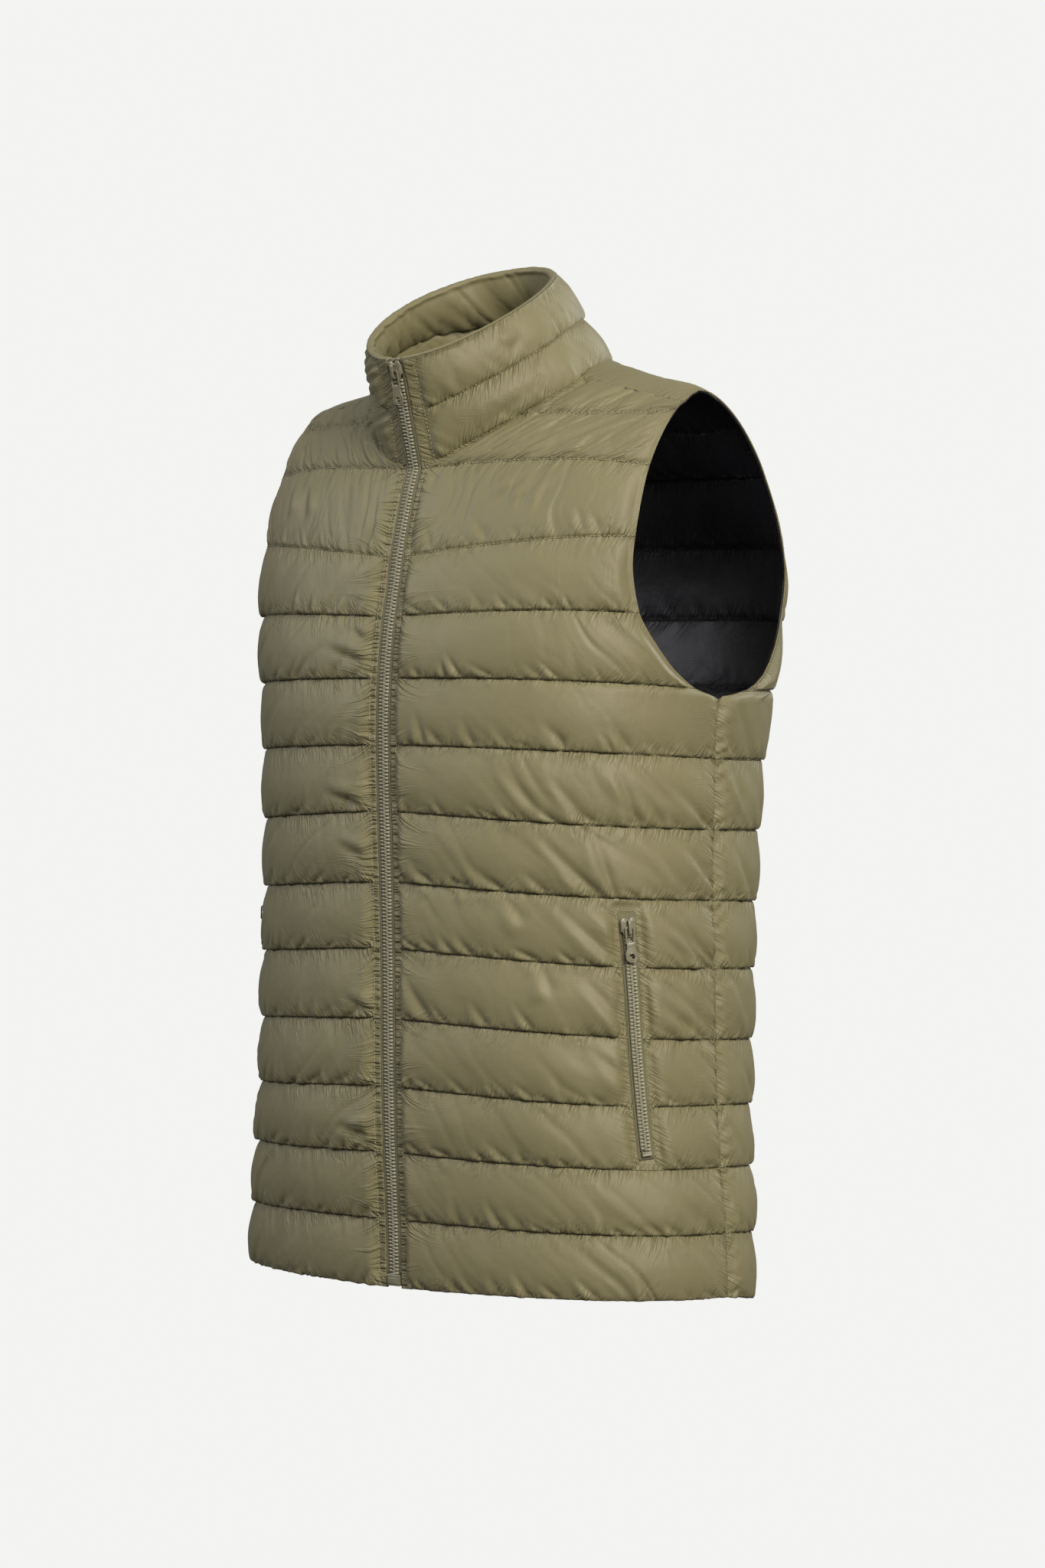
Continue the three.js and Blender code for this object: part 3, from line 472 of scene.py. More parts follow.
# ---- Padding: the cut as a grid, its puffs and creases, and how the cloth settles ----
@dataclass(frozen=True)
class Crease:
    """A soft trough with a ridge beside it, from one place on a panel to another.

    Attributes:
        start: distance from the panel's first edge, and height, of its upper end.
        end: the same of its lower end.
        depth: how deep the trough is.
        width: how wide.
    """

    start: tuple[float, float]
    end: tuple[float, float]
    depth: float = 2.0
    width: float = 3.5

    def rise(self, across: Array, height: Array) -> Array:
        """How far it lifts (or, below zero, sinks) each point."""
        along_it = np.array(self.end) - np.array(self.start)
        length = float(np.hypot(*along_it))
        direction = along_it / length
        a, b = across - self.start[0], height - self.start[1]
        t = (a * direction[0] + b * direction[1]) / length
        off = (a * direction[1] - b * direction[0]) / self.width
        taper = smooth_step(-0.15, 0.75, t) * (1 - smooth_step(0.8, 1.15, t))
        off = off / (0.7 + 0.6 * np.clip(t, 0, 1))
        return self.depth * taper * (0.8 * np.exp(-((off - 1.9) / 1.5) ** 2) - np.exp(-np.abs(off) ** 1.5))


class Grid:
    """A cut laid out as rows (up) and columns (across), with what the padding needs to know of each point.

    Attributes:
        place: points of the sewing surface.
        normal: their outward directions.
        across: distance of each from the first column.
        beyond: distance of each from the last column.
        edge: distance of each from the nearer of the two.
        height: height z of each.
        rise: how far up its channel each is, from 0 to 1.
        to_line: distance of each from the nearest quilt line.
        channel: number of each row's channel.
        tall: height of the channel at each point.
        line_rows: the rows that lie on quilt lines or edges.
    """

    @classmethod
    def of(cls, cut: Cut, shares: Array, spacing: Callable[[int], int]) -> "Grid":
        """Lays out a cut.

        Args:
            cut: the cut.
            shares: the columns' shares across.
            spacing: how many rows the channel of each number gets.

        Returns:
            The grid.
        """
        rows, marks = [], [0]
        for k, (low, high) in enumerate(zip(cut.lines, cut.lines[1:])):
            even = np.arange(spacing(k)) / spacing(k)
            rows += list(mix(low, high, even - 0.085 * np.sin(2 * np.pi * even)))
            marks.append(len(rows))
        rows.append(cut.lines[-1])
        return cls(cut.place(np.array(rows, float), shares), marks)

    def __init__(self, place: Array, line_rows: list[int]) -> None:
        """Measures the grid."""
        self.place, self.line_rows = place, line_rows
        self.normal = face_normals(place)
        self.height = place[..., 2]
        gaps = np.linalg.norm(np.diff(place, axis=1), axis=-1)
        self.across = np.concatenate([np.zeros((len(place), 1)), np.cumsum(gaps, 1)], 1)
        self.beyond = self.across[:, -1:] - self.across
        self.edge = np.minimum(self.across, self.beyond)
        rises = np.linalg.norm(np.diff(place, axis=0), axis=-1)
        up = np.concatenate([np.zeros((1, place.shape[1])), np.cumsum(rises, 0)])
        self.rise, self.to_line = np.zeros_like(up), np.zeros_like(up)
        self.tall, self.channel = np.zeros_like(up), np.zeros(len(up), int)
        for k, (low, high) in enumerate(zip(line_rows, line_rows[1:])):
            part = slice(low, high + 1)
            self.tall[part] = up[high] - up[low]
            self.rise[part] = (up[part] - up[low]) / np.maximum(up[high] - up[low], 1e-6)
            self.channel[part] = k
        self.to_line = np.minimum(self.rise, 1 - self.rise) * self.tall

    def puffs(self) -> Array:
        """How far each channel is filled out: 0 on its lines, 1 at its crest a little below the middle."""
        turn = np.pi * np.clip(self.rise, 0, 1) ** 0.86
        crest = np.sin(turn) ** np.where(turn < np.pi / 2, 0.48, 0.7)
        return crest * np.clip(self.tall / 36, 0.25, 1.1)

    def gathers(self, size: float, reach: float, seed: int) -> Array:
        """Short puckers that run up and down from the quilt lines and fade away from them."""
        strand = self.channel[:, None] * 2 + (self.rise < 0.5)
        slant = self.across + 0.35 * self.to_line * np.sign(self.rise - 0.5)
        fine = cloud(slant, strand * 40.0 + self.to_line * 0.05, size, seed)
        which = np.abs(fine) ** 0.6 * np.sign(fine)
        far = reach * (1 + 0.9 * cloud(self.across, strand * 40.0, size * 3.1, seed + 1))
        fade = np.exp(-(self.to_line / np.maximum(far, 1)) ** 1.2)
        return which * fade * smooth_step(0, 1.2, self.to_line)

    def below_shoulders(self) -> Array:
        """Share of the puff that is left: all of it on the body, less over the chest and the shoulders."""
        return mix(1, 0.6, smooth_step(-170, -90, self.height))

    def at_armhole(self) -> Array:
        """0 along the side seam and 1 at the heights of the armhole."""
        return smooth_step(-235, -215, self.height)

    def drags(self, slope: float | Array, size: float, seed: int) -> Array:
        """Long soft folds that run down each channel at a slope, from -1 to 1 with narrow troughs."""
        wander = 0.9 * size * cloud(self.across, self.height, 2.6 * size, seed)
        strand = self.channel[:, None] * (size + 1) + 0.3 * size * self.rise
        ridge = np.abs(cloud(self.across + slope * self.height + wander, strand, size, seed + 1))
        patch = np.clip(0.7 + 1.1 * cloud(self.across, self.height, 3.5 * size, seed + 2), 0.1, 1.3)
        return patch * (np.minimum(1, 2.8 * ridge) - 0.6)


@dataclass(frozen=True)
class ClothRelaxation:
    """A small cloth simulation on a grid: threads keep their lengths, wadding pushes out, stitches hold.

    Attributes:
        steps: how many rounds of moves.
        thread: how strongly the threads along rows and columns keep their lengths.
        bias: the same across the weave's diagonals.
        bending: how strongly the cloth resists sharp folds.
        wadding: how strongly the wadding pushes the cloth to its own thickness.
        momentum: share of each move that carries on into the next.
        least: how near to the sewing surface the cloth may come.
    """

    steps: int = 150
    thread: float = 0.34
    bias: float = 0.10
    bending: float = 0.035
    wadding: float = 0.02
    momentum: float = 0.8
    least: float = 0.35

    @staticmethod
    def _curl(points: Array) -> Array:
        """How far each inner point's neighbours lie to one side of it, along rows and columns."""
        curl = np.zeros_like(points)
        curl[:, 1:-1] += points[:, 2:] + points[:, :-2] - 2 * points[:, 1:-1]
        curl[1:-1] += points[2:] + points[:-2] - 2 * points[1:-1]
        return curl

    def settle(self, grid: Grid, start: Array, excess_across: Array, excess_up: Array, held: Array) -> Array:
        """Settles a panel's cloth.

        Args:
            grid: the panel.
            start: where each point starts, which is also how far out the wadding pushes it.
            excess_across: how much longer the cloth was cut along its rows, as a share.
            excess_up: the same along its columns.
            held: where stitches hold the cloth.

        Returns:
            The settled points.
        """
        start = start.astype(np.float32)
        normal, base = grid.normal.astype(np.float32), grid.place.astype(np.float32)
        families = [
            (np.s_[:, :-1], np.s_[:, 1:], excess_across, excess_across * 0, self.thread),
            (np.s_[:-1, :], np.s_[1:, :], excess_up, excess_up * 0, self.thread),
            (np.s_[:-1, :-1], np.s_[1:, 1:], excess_across, excess_up, self.bias),
            (np.s_[:-1, 1:], np.s_[1:, :-1], excess_across, excess_up, self.bias),
        ]
        threads = []
        for first, second, one, other, strength in families:
            rest = np.linalg.norm(start[second] - start[first], axis=-1, keepdims=True)
            longer = 1 + (one + other)[first][..., None] * (0.5 if strength == self.bias else 1)
            threads.append((first, second, (rest * longer).astype(np.float32), strength / 2))
        here, before, curl = start.copy(), start.copy(), self._curl(start)
        free = (~held)[..., None].astype(np.float32)
        lift = np.einsum("ijk,ijk->ij", start - base, normal)
        for _ in range(self.steps):
            move = (here - before) * self.momentum
            for first, second, rest, strength in threads:
                reach = here[second] - here[first]
                length = np.sqrt(np.einsum("ijk,ijk->ij", reach, reach))[..., None]
                pull = reach * (strength * (1 - rest / length))
                move[first] += pull
                move[second] -= pull
            move += self.bending * (self._curl(here) - curl)
            thickness = np.einsum("ijk,ijk->ij", here - base, normal)
            push = self.wadding * (lift - thickness) + 0.5 * np.maximum(0, self.least - thickness)
            move += normal * push[..., None]
            before, here = here, here + move * free
        return here.astype(float)


# ---- Meshes ----
def make_object(name: str, points: Array, faces: list, slot: str, body: str = "garment",
                marks: Optional[dict[str, Array]] = None) -> bpy.types.Object:
    """Makes a smooth-shaded object that rides on a body.

    Args:
        name: its name.
        points: its vertices, in millimetres.
        faces: tuples of vertex numbers.
        slot: the name of a material slot; not used.
        body: the body it rides on.
        marks: vectors for its material to read at its first points, by name.

    Returns:
        The object.
    """
    mesh = bpy.data.meshes.new(name)
    mesh.from_pydata((np.asarray(points).reshape(-1, 3) * MM).tolist(), [], faces)
    mesh.shade_smooth()
    for mark, values in (marks or {}).items():
        spread = np.zeros((len(mesh.vertices), 3))
        spread[:values.size // 3] = values.reshape(-1, 3)
        mesh.attributes.new(mark, "FLOAT_VECTOR", "POINT").data.foreach_set("vector", spread.ravel())
    mesh.update()
    piece = bpy.data.objects.new(name, mesh)
    bpy.context.scene.collection.objects.link(piece)
    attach(piece, body)
    return piece


Bulge = tuple[float, float, float, float]


def cells(ids: Array, flipped: bool = False) -> list:
    """The four-cornered faces between rows and columns of vertex numbers."""
    corners = [ids[:-1, :-1], ids[:-1, 1:], ids[1:, 1:], ids[1:, :-1]]
    if flipped:
        corners = corners[:1] + corners[:0:-1]
    return np.stack(corners, -1).reshape(-1, 4).tolist()


def wall(outer: Array, inner: Array, bulge: Bulge, every: int = 3, turns: int = 3) -> Mesh:
    """A closed wall between two grids, with rounded edges and a coarser inner face.

    Args:
        outer: the face that shows, rows by columns.
        inner: the hidden face, on the same grid.
        bulge: how far the bottom, last-column, top and first-column edges round outwards.
        every: how many cells of the outer face each cell of the inner one spans.
        turns: how many rings of points round each edge.

    Returns:
        Its vertices and faces.
    """
    rows, columns = outer.shape[:2]
    ids = np.arange(rows * columns).reshape(rows, columns)
    faces = cells(ids)
    loop = [(0, j) for j in range(columns)] + [(i, columns - 1) for i in range(1, rows)]
    loop += [(rows - 1, j) for j in range(columns - 2, -1, -1)] + [(i, 0) for i in range(rows - 2, 0, -1)]
    i, j = np.array(loop).T
    out = unit(outer[0] - outer[1]), unit(outer[:, -1] - outer[:, -2])
    out += unit(outer[-1] - outer[-2]), unit(outer[:, 0] - outer[:, 1])
    push = (i == 0)[:, None] * out[0][j] * bulge[0] + (j == columns - 1)[:, None] * out[1][i] * bulge[1]
    push = push + (i == rows - 1)[:, None] * out[2][j] * bulge[2] + (j == 0)[:, None] * out[3][i] * bulge[3]
    middle, half = (outer[i, j] + inner[i, j]) / 2, (outer[i, j] - inner[i, j]) / 2
    points, ring = [outer.reshape(-1, 3)], ids[i, j]
    count = rows * columns
    for step in range(turns):
        turn = math.pi * (step + 1) / (turns + 1)
        points.append(middle + half * math.cos(turn) + push * math.sin(turn))
        fresh = count + np.arange(len(loop))
        count += len(loop)
        faces += np.stack([np.roll(ring, -1), ring, fresh, np.roll(fresh, -1)], -1).tolist()
        ring = fresh
    kept_rows = sorted({*range(0, rows, every), rows - 1})
    kept_columns = sorted({*range(0, columns, every), columns - 1})
    kept = np.ix_(kept_rows, kept_columns)
    inside = count + np.arange(len(kept_rows) * len(kept_columns)).reshape(len(kept_rows), -1)
    coarse = -np.ones((rows, columns), int)
    coarse[kept] = inside
    points.append(inner[kept].reshape(-1, 3))
    faces += cells(inside, flipped=True)
    corners = [k for k, at in enumerate(loop) if coarse[at] >= 0]
    for first, second in zip(corners, corners[1:] + [corners[0] + len(loop)]):
        fine = [int(ring[k % len(loop)]) for k in range(second, first - 1, -1)]
        faces.append((*fine, int(coarse[loop[first]]), int(coarse[loop[second % len(loop)]])))
    return np.concatenate(points), faces


def turned_over(faces: list) -> list:
    """The same faces, facing the other way."""
    return [tuple(reversed(face)) for face in faces]


def mirror(points: Array, faces: list) -> Mesh:
    """The same mesh on the wearer's other side."""
    return points * (-1, 1, 1), turned_over(faces)


@dataclass(frozen=True)
class Stitches:
    """A row of lockstitches along a line on the cloth.

    Attributes:
        pitch: distance from one stitch to the next.
        length: how much of that shows as thread.
        radius: the thread's, drawn a little thick so that it shows.
    """

    pitch: float = 3.2
    length: float = 2.3
    radius: float = 0.34

    def along(self, path: Array, normal: Array, seed: int = 0) -> Mesh:
        """The stitches of a row.

        Args:
            path: points of the line, in order.
            normal: outward directions there.
            seed: which unevenness.

        Returns:
            Vertices and faces.
        """
        lengths = path_lengths(path)
        count = int(lengths[-1] / self.pitch)
        if count < 1:
            return np.zeros((0, 3)), []
        uneven = np.random.default_rng(seed).uniform(-0.25, 0.25, (count, 1))
        starts = (np.arange(count)[:, None] + 0.15) * self.pitch + uneven
        shares = np.array([0.0, 0.5, 1.0])
        at = np.clip(starts + shares * self.length, 0, lengths[-1])
        centre = on_path(path, lengths, at)
        out = unit(on_path(normal, lengths, at))
        centre += out * np.array([-0.2, 0.3, -0.2])[None, :, None]
        forward = unit(np.repeat(centre[:, -1:] - centre[:, :1], 3, axis=1))
        aside = unit(np.cross(forward, out))
        turn = np.radians(np.arange(4) * 90 + 45)
        circle = np.cos(turn)[:, None] * out[..., None, :] + np.sin(turn)[:, None] * aside[..., None, :]
        thick = self.radius * np.array([0.5, 1.2, 0.5])[None, :, None, None]
        points = centre[..., None, :] + circle * thick
        faces = tube_faces(3, 4)
        every = [tuple(number + 12 * k for number in face) for k in range(count) for face in faces]
        return points.reshape(-1, 3), every


TOPSTITCHES = Stitches(pitch=2.9, length=2.1)


def joined(parts: Sequence[Mesh]) -> Mesh:
    """Several meshes as one."""
    points, faces, count = [], [], 0
    for some, theirs in parts:
        points.append(np.asarray(some).reshape(-1, 3))
        faces += [tuple(number + count for number in face) for face in theirs]
        count += len(points[-1])
    return np.concatenate(points), faces


# ---- Quilted panels ----
def columns_of(cut: Cut, at: float, *stretches: tuple[float, float], first: float = 0,
               last: float = 1) -> Array:
    """Shares across a cut for its columns.

    Args:
        cut: the cut.
        at: the row along which they are measured.
        stretches: lengths and spacings along it, which are scaled to fit.
        first: share of the first column.
        last: share of the last.

    Returns:
        The shares.
    """
    dense = np.linspace(first, last, 800)
    row = cut.place(np.array([at]), dense)[0]
    lengths = path_lengths(row)
    marks = steps_of(*stretches)
    return np.interp(marks * lengths[-1] / marks[-1], lengths, dense)


@dataclass
class QuiltedPanel:
    """A panel of the vest: cloth over wadding, stitched through in level lines.

    Attributes:
        name: name of the piece.
        slot: its material slot.
        seed: which unevenness it has.
        mirrored: whether it is made on the wearer's left and turned over to the right.
        creases: the listed folds.
        flat: thickness at a stitch.
        puff: how much more at a crest.
        gap: distance of its hidden face from the sewing surface.
        gather: height of the puckers at its quilt lines.
        droop: how far the crests hang down over the lines below them.
        bulge: how far its edges are rounded.
        relaxation: how its cloth settles.
        every: cells of its face to each cell of its hidden face.
        turning: how far from its first edge the small creases begin to lean the other way.
    """

    name: str
    slot: str
    seed: int
    mirrored: bool = False
    creases: tuple[Crease, ...] = ()
    flat: float = SHELL_FLAT
    puff: float = SHELL_PUFF
    gap: float = 0.0
    gather: float = 0.7
    droop: float = 1.8
    bulge: Bulge = (0.5, 0.0, 0.0, 0.0)
    relaxation: ClothRelaxation = ClothRelaxation()
    every: int = 3
    turning: float = 1000.0

    def grid(self) -> Grid:
        """The panel's grid of sewing points."""
        raise NotImplementedError

    def cover(self, grid: Grid) -> Array:
        """How much of the puff is left near the panel's edges, from 0 to 1."""
        return np.ones_like(grid.rise)

    def detail(self, grid: Grid, lift: Array) -> Array:
        """The lift with what only this panel has."""
        return lift

    def held(self, grid: Grid) -> Array:
        """Where stitches and seams hold the cloth."""
        held = np.zeros(grid.rise.shape, bool)
        held[grid.line_rows] = True
        held[[0, -1]] = True
        held[:, [0, -1]] = True
        return held

    def lift(self, grid: Grid) -> Array:
        """How far out each point of the cloth lies before it settles."""
        strand = grid.channel[:, None] * 50.0 + grid.height * 0.2
        uneven = 1 + 0.10 * cloud(grid.across, strand, 38, self.seed)
        puffs = grid.puffs() * uneven * self.cover(grid)
        lift = self.flat + self.puff * puffs
        folds = np.zeros_like(lift)
        for crease in self.folds(grid):
            folds += crease.rise(grid.across, grid.height)
        waves = 0.35 * cloud(grid.across, grid.height, 17, self.seed + 20)
        folds += self.dragged(grid, 16, self.seed + 70) + waves
        lift += folds * np.clip(puffs * 1.6, 0, 1)
        return np.maximum(self.detail(grid, lift), 0.02)

    def fine(self, grid: Grid) -> Array:
        """Small puckers, finer than the cloth can settle into, as distances off its face."""
        patch = np.clip(0.55 + 1.3 * cloud(grid.across, grid.height, 42, self.seed + 80), 0, 1)
        small = 0.35 * patch * self.dragged(grid, 5, self.seed + 82)
        puckers = self.gather * grid.gathers(2.8, 6, self.seed + 10) + small
        return puckers * np.clip(3 * self.cover(grid), 0, 1)

    def folds(self, grid: Grid) -> list[Crease]:
        """The listed creases, and seeded small ones that rise from the quilt lines."""
        draw = np.random.default_rng(self.seed + 60)
        made = list(self.creases)
        for row in grid.line_rows[:-1]:
            at = draw.uniform(8, 30)
            while at < grid.across[row, -1] - 8:
                foot = np.array([at, grid.height[row, nearest(grid.across[row], at)] + 0.5])
                lean = draw.uniform(0.2, 1.1) * (1 if at < self.turning else -1)
                reach = draw.uniform(9, 26)
                top = foot + reach * np.array([-math.sin(lean), math.cos(lean)])
                made.append(Crease(tuple(top), tuple(foot), draw.uniform(0.7, 1.8), draw.uniform(1.6, 3.0)))
                at += draw.uniform(9, 34)
        return made

    def dragged(self, grid: Grid, size: float, seed: int) -> Array:
        """Long soft folds all over the panel, of a given spacing."""
        return 0.5 * grid.drags(0.8, size, seed)

    def started(self, grid: Grid) -> Array:
        """The cloth before it settles: lifted off the sewing surface, its crests hanging a little."""
        lift = self.lift(grid)
        down = -unit(np.gradient(grid.place, axis=0))
        hang = self.droop * mix(1, 0.0, smooth_step(-190, -90, grid.height))
        hang = hang * np.clip((lift - self.flat) / self.puff, 0, 1) ** 1.2
        return grid.place + grid.normal * lift[..., None] + down * hang[..., None]

    def excess(self, grid: Grid) -> tuple[Array, Array]:
        """How much longer the cloth was cut than the surface it covers, along rows and along columns."""
        patchy = 1 + 0.7 * cloud(grid.across, grid.height, 45, self.seed + 30)
        across = 0.012 + 0.05 * patchy * np.exp(-grid.to_line / 9)
        return np.maximum(across, 0), np.full_like(across, 0.008)

    def settled(self, grid: Grid) -> Array:
        """The settled cloth over a grid, with its small puckers."""
        cloth = self.started(grid)
        cloth = self.relaxation.settle(grid, cloth, *self.excess(grid), self.held(grid))
        out = face_normals(cloth)
        cloth = cloth + unit(mix(grid.normal, out, 0.6)) * self.fine(grid)[..., None]
        sunk = np.maximum(0, self.gap + 0.25 - np.sum((cloth - grid.place) * grid.normal, -1))
        return cloth + grid.normal * sunk[..., None]

    def build(self) -> bpy.types.Object:
        """Makes the panel and its stitches."""
        grid = self.grid()
        cloth = self.settled(grid)
        points, faces = wall(cloth, grid.place + grid.normal * self.gap, self.bulge, self.every)
        threads = joined(self.stitched(grid, cloth))
        if self.mirrored:
            points, faces = mirror(points, faces)
            threads = mirror(*threads)
        piece = make_object(self.name, points, faces, self.slot, marks=self.marks(grid))
        make_object(f"stitches_{self.name}", *threads, self.slot)
        log.info("%s: %d faces", self.name, len(faces))
        return piece

    def edges(self, grid: Grid) -> tuple[Array, Array]:
        """Where the finest pleats run at zips and seams: a phase across them, and their strength."""
        return grid.height + 0.4 * grid.edge, 0.6 * np.exp(-grid.edge / 6)

    def marks(self, grid: Grid) -> dict[str, Array]:
        """What the cloth's material reads of the cut: where its finest puckers run, and how strong."""
        far = 5 * (1 + 0.9 * cloud(grid.across, grid.channel[:, None] * 40.0, 12, self.seed + 91))
        at_lines = np.exp(-(grid.to_line / np.maximum(far, 1.5)) ** 1.2)
        aside = grid.across + 0.4 * grid.to_line * np.sign(grid.rise - 0.5)
        phase, at_edges = self.edges(grid)
        room = np.broadcast_to(grid.channel[:, None] * 9.0, phase.shape)
        pull = np.stack([at_lines, at_edges, at_edges * 0], -1)
        return {"cut": np.stack([aside, phase, room], -1) * MM, "pull": pull}

    def stitched(self, grid: Grid, cloth: Array) -> list[Mesh]:
        """The rows of stitches that show on this panel."""
        normal = unit(mix(grid.normal, face_normals(cloth), 0.3))
        inner = grid.line_rows[1:-1]
        return [Stitches().along(cloth[row], normal[row], self.seed + row) for row in inner]


def seam_bites(edge: Array, height: Array, seed: int) -> Array:
    """The uneven puckers that a tight seam pulls into the cloth beside it, below the armhole."""
    wander = height - 0.6 * edge + 4.0 * cloud(height, edge, 14, seed)
    strength = (1 + 0.7 * cloud(height, edge * 0, 25, seed + 1)) * (height < SIDE_SEAM_TOP)
    fade = np.exp(-(edge / 9) ** 2) * smooth_step(0.3, 1.5, edge)
    return 2.2 * strength * fade * pleats(wander, 10)


@dataclass
class FrontPanel(QuiltedPanel):
    """One front of the shell, from the zip to the side seam and from the hem to the shoulder seam."""

    band: float = 5.0
    ruffle: float = 8.0
    ruffle_rise: float = 1.0
    border: float = 8.0
    pocket_column: int = 0
    bulge: Bulge = (0.5, 0.35, 0.0, 0.1)

    def grid(self) -> Grid:
        """See QuiltedPanel.grid; columns are close together at the zip, the pocket and the side seam."""
        cut = FrontCut()
        dense = np.linspace(0, 1, 400)
        lengths = path_lengths(cut.place(np.array([SPACING_LINE]), dense)[0])
        pocket, whole = float(np.interp(POCKET_SHARE, dense, lengths)), float(lengths[-1])
        plain = (pocket - 26, 1.6), (26, 1.1), (whole - pocket - 24, 1.6)
        shares = columns_of(cut, SPACING_LINE, (12, 1.1), *plain, (10, 1.2))
        counts = (30,) * LEVEL + (38, 22)
        grid = Grid.of(cut, shares, lambda k: counts[k])
        self.pocket_column = nearest(shares, POCKET_SHARE)
        return grid

    def from_pocket(self, grid: Grid) -> Array:
        """Distance of each point from the pocket's line, below zero towards the zip."""
        return grid.across - grid.across[:, self.pocket_column:self.pocket_column + 1]

    def at_pocket(self, grid: Grid, fade: float, beyond: float = 0.0) -> Array:
        """1 at the heights of the pocket's opening, fading out past its ends."""
        low = smooth_step(POCKET.bottom - beyond - fade, POCKET.bottom - beyond, grid.height)
        return low * (1 - smooth_step(POCKET.top + beyond, POCKET.top + beyond + fade, grid.height))

    def cover(self, grid: Grid) -> Array:
        """See QuiltedPanel.cover: flat at the zip, the side seam, the armhole and the pocket's border."""
        band = self.band + 0.8 * cloud(grid.height, grid.height * 0, 21, self.seed + 5)
        zip_side = smooth_step(0, 8, grid.across - band) ** 0.5
        seam_side = smooth_step(0, 9, grid.beyond - mix(0.5, 3.0, grid.at_armhole())) ** 0.6
        off_border = smooth_step(self.border, self.border + 9, np.abs(self.from_pocket(grid))) ** 0.6
        border = 1 - (1 - off_border) * self.at_pocket(grid, 8, 5)
        flatter = grid.below_shoulders() * np.where(grid.channel[:, None] < LEVEL, 1, 0.6)
        return zip_side * seam_side * border * flatter

    def fine(self, grid: Grid) -> Array:
        """See QuiltedPanel.fine: also the larger pleats at the zip band, the seam and the pocket."""
        phase, strength = self.edges(grid)
        wander = 3.0 * cloud(grid.height, 0.3 * grid.across, 12, self.seed + 6)
        ruffles = self.ruffle_rise * strength * pleats(phase + wander, self.ruffle)
        made = super().fine(grid) * (np.abs(self.from_pocket(grid)) > 5.5) + ruffles
        channel = grid.channel[:, None]
        yoke = np.where(channel < LEVEL, 0, 1) + 0.45 * grid.rise ** 2 * (channel == LEVEL - 1)
        inside = smooth_step(0, 8, np.minimum(grid.to_line, grid.beyond))
        steep = yoke * grid.drags(self.lean(grid), 9, self.seed + 94) * inside
        return made + np.maximum(2.5 * steep, -0.7) + seam_bites(grid.beyond, grid.height, self.seed + 8)

    @staticmethod
    def lean(grid: Grid) -> Array:
        """How the folds of the chest and the yoke lean, as a slope for Grid.drags."""
        return np.where(grid.channel[:, None] < LEVEL, -0.3, 0.6)

    def edges(self, grid: Grid) -> tuple[Array, Array]:
        """See QuiltedPanel.edges: pleats fan out from the ends of the quilt lines at the zip."""
        out, aside = np.maximum(0, grid.across - self.band), self.from_pocket(grid)
        fan = grid.height - 0.9 * (1 - 2 * grid.rise) * np.minimum(out, 25)
        patch = np.clip(0.45 + cloud(fan, grid.channel[:, None] * 9.0, 6, self.seed + 7), 0, 1)
        reach = 2.5 + 9 * patch ** 2
        at_zip = 1.3 * smooth_step(0.2, 1.2, grid.across) * np.exp(-out / reach)
        a = np.abs(aside)
        at_pocket = 0.6 * smooth_step(5.8, 7.0, a) * np.exp(-np.maximum(0, a - 8) / 5)
        at_pocket = at_pocket * self.at_pocket(grid, 3, 2)
        at_seam = 0.9 * np.exp(-grid.beyond / 8) * (grid.height < SIDE_SEAM_TOP)
        phase = np.where(a < 28, grid.height + 0.5 * aside, fan)
        phase = np.where(grid.beyond < 18, grid.height - 0.6 * grid.beyond, phase)
        return phase, at_zip + at_pocket + at_seam

    def detail(self, grid: Grid, lift: Array) -> Array:
        """See QuiltedPanel.detail: the pocket's opening."""
        a = np.abs(self.from_pocket(grid))
        here = self.at_pocket(grid, 2.5)
        lip = mix(0.02, 1.7, smooth_step(5.1, 6.2, a))
        flat_border = 1 - smooth_step(self.border, self.border + 4, a)
        lift = mix(lift, np.where(a < 6.2, lip, mix(lift, lip, flat_border)), here)
        return lift - 0.45 * np.exp(-((a - 7.4) / 0.8) ** 2) * here

    def held(self, grid: Grid) -> Array:
        """See QuiltedPanel.held: also the topstitched zip band and the pocket's border."""
        held = super().held(grid)
        held[:, grid.across.mean(0) < 1.5] = True
        held |= (self.at_pocket(grid, 2, 1) > 0.5) & (np.abs(self.from_pocket(grid)) < 7.6)
        return held

    def excess(self, grid: Grid) -> tuple[Array, Array]:
        """See QuiltedPanel.excess: cloth is eased in along the zip, the side seam and the pocket."""
        across, up = super().excess(grid)
        patchy = np.maximum(0.2, 1 + 0.8 * cloud(grid.height, grid.across * 0.5, 30, self.seed + 40))
        border = np.exp(-np.maximum(0, np.abs(self.from_pocket(grid)) - 7) / 7) * self.at_pocket(grid, 5)
        up = up + patchy * (
            0.06 * np.exp(-grid.across / 12) + 0.05 * np.exp(-grid.beyond / 8) + 0.035 * border
        )
        return across, up

    def dragged(self, grid: Grid, size: float, seed: int) -> Array:
        """See QuiltedPanel.dragged: strongest at the side below the armhole, and steeper on the chest."""
        low, high = grid.drags(0.9, size, seed), grid.drags(self.lean(grid), 0.7 * size, seed + 2)
        chest = smooth_step(-140, -90, grid.height)
        yoke = smooth_step(-75, -55, grid.height)
        amount = 0.6 + 0.9 * smooth_step(60, 190, grid.across) * (1 - chest) + 0.3 * chest + 1.4 * yoke
        return amount * mix(low, high, chest)

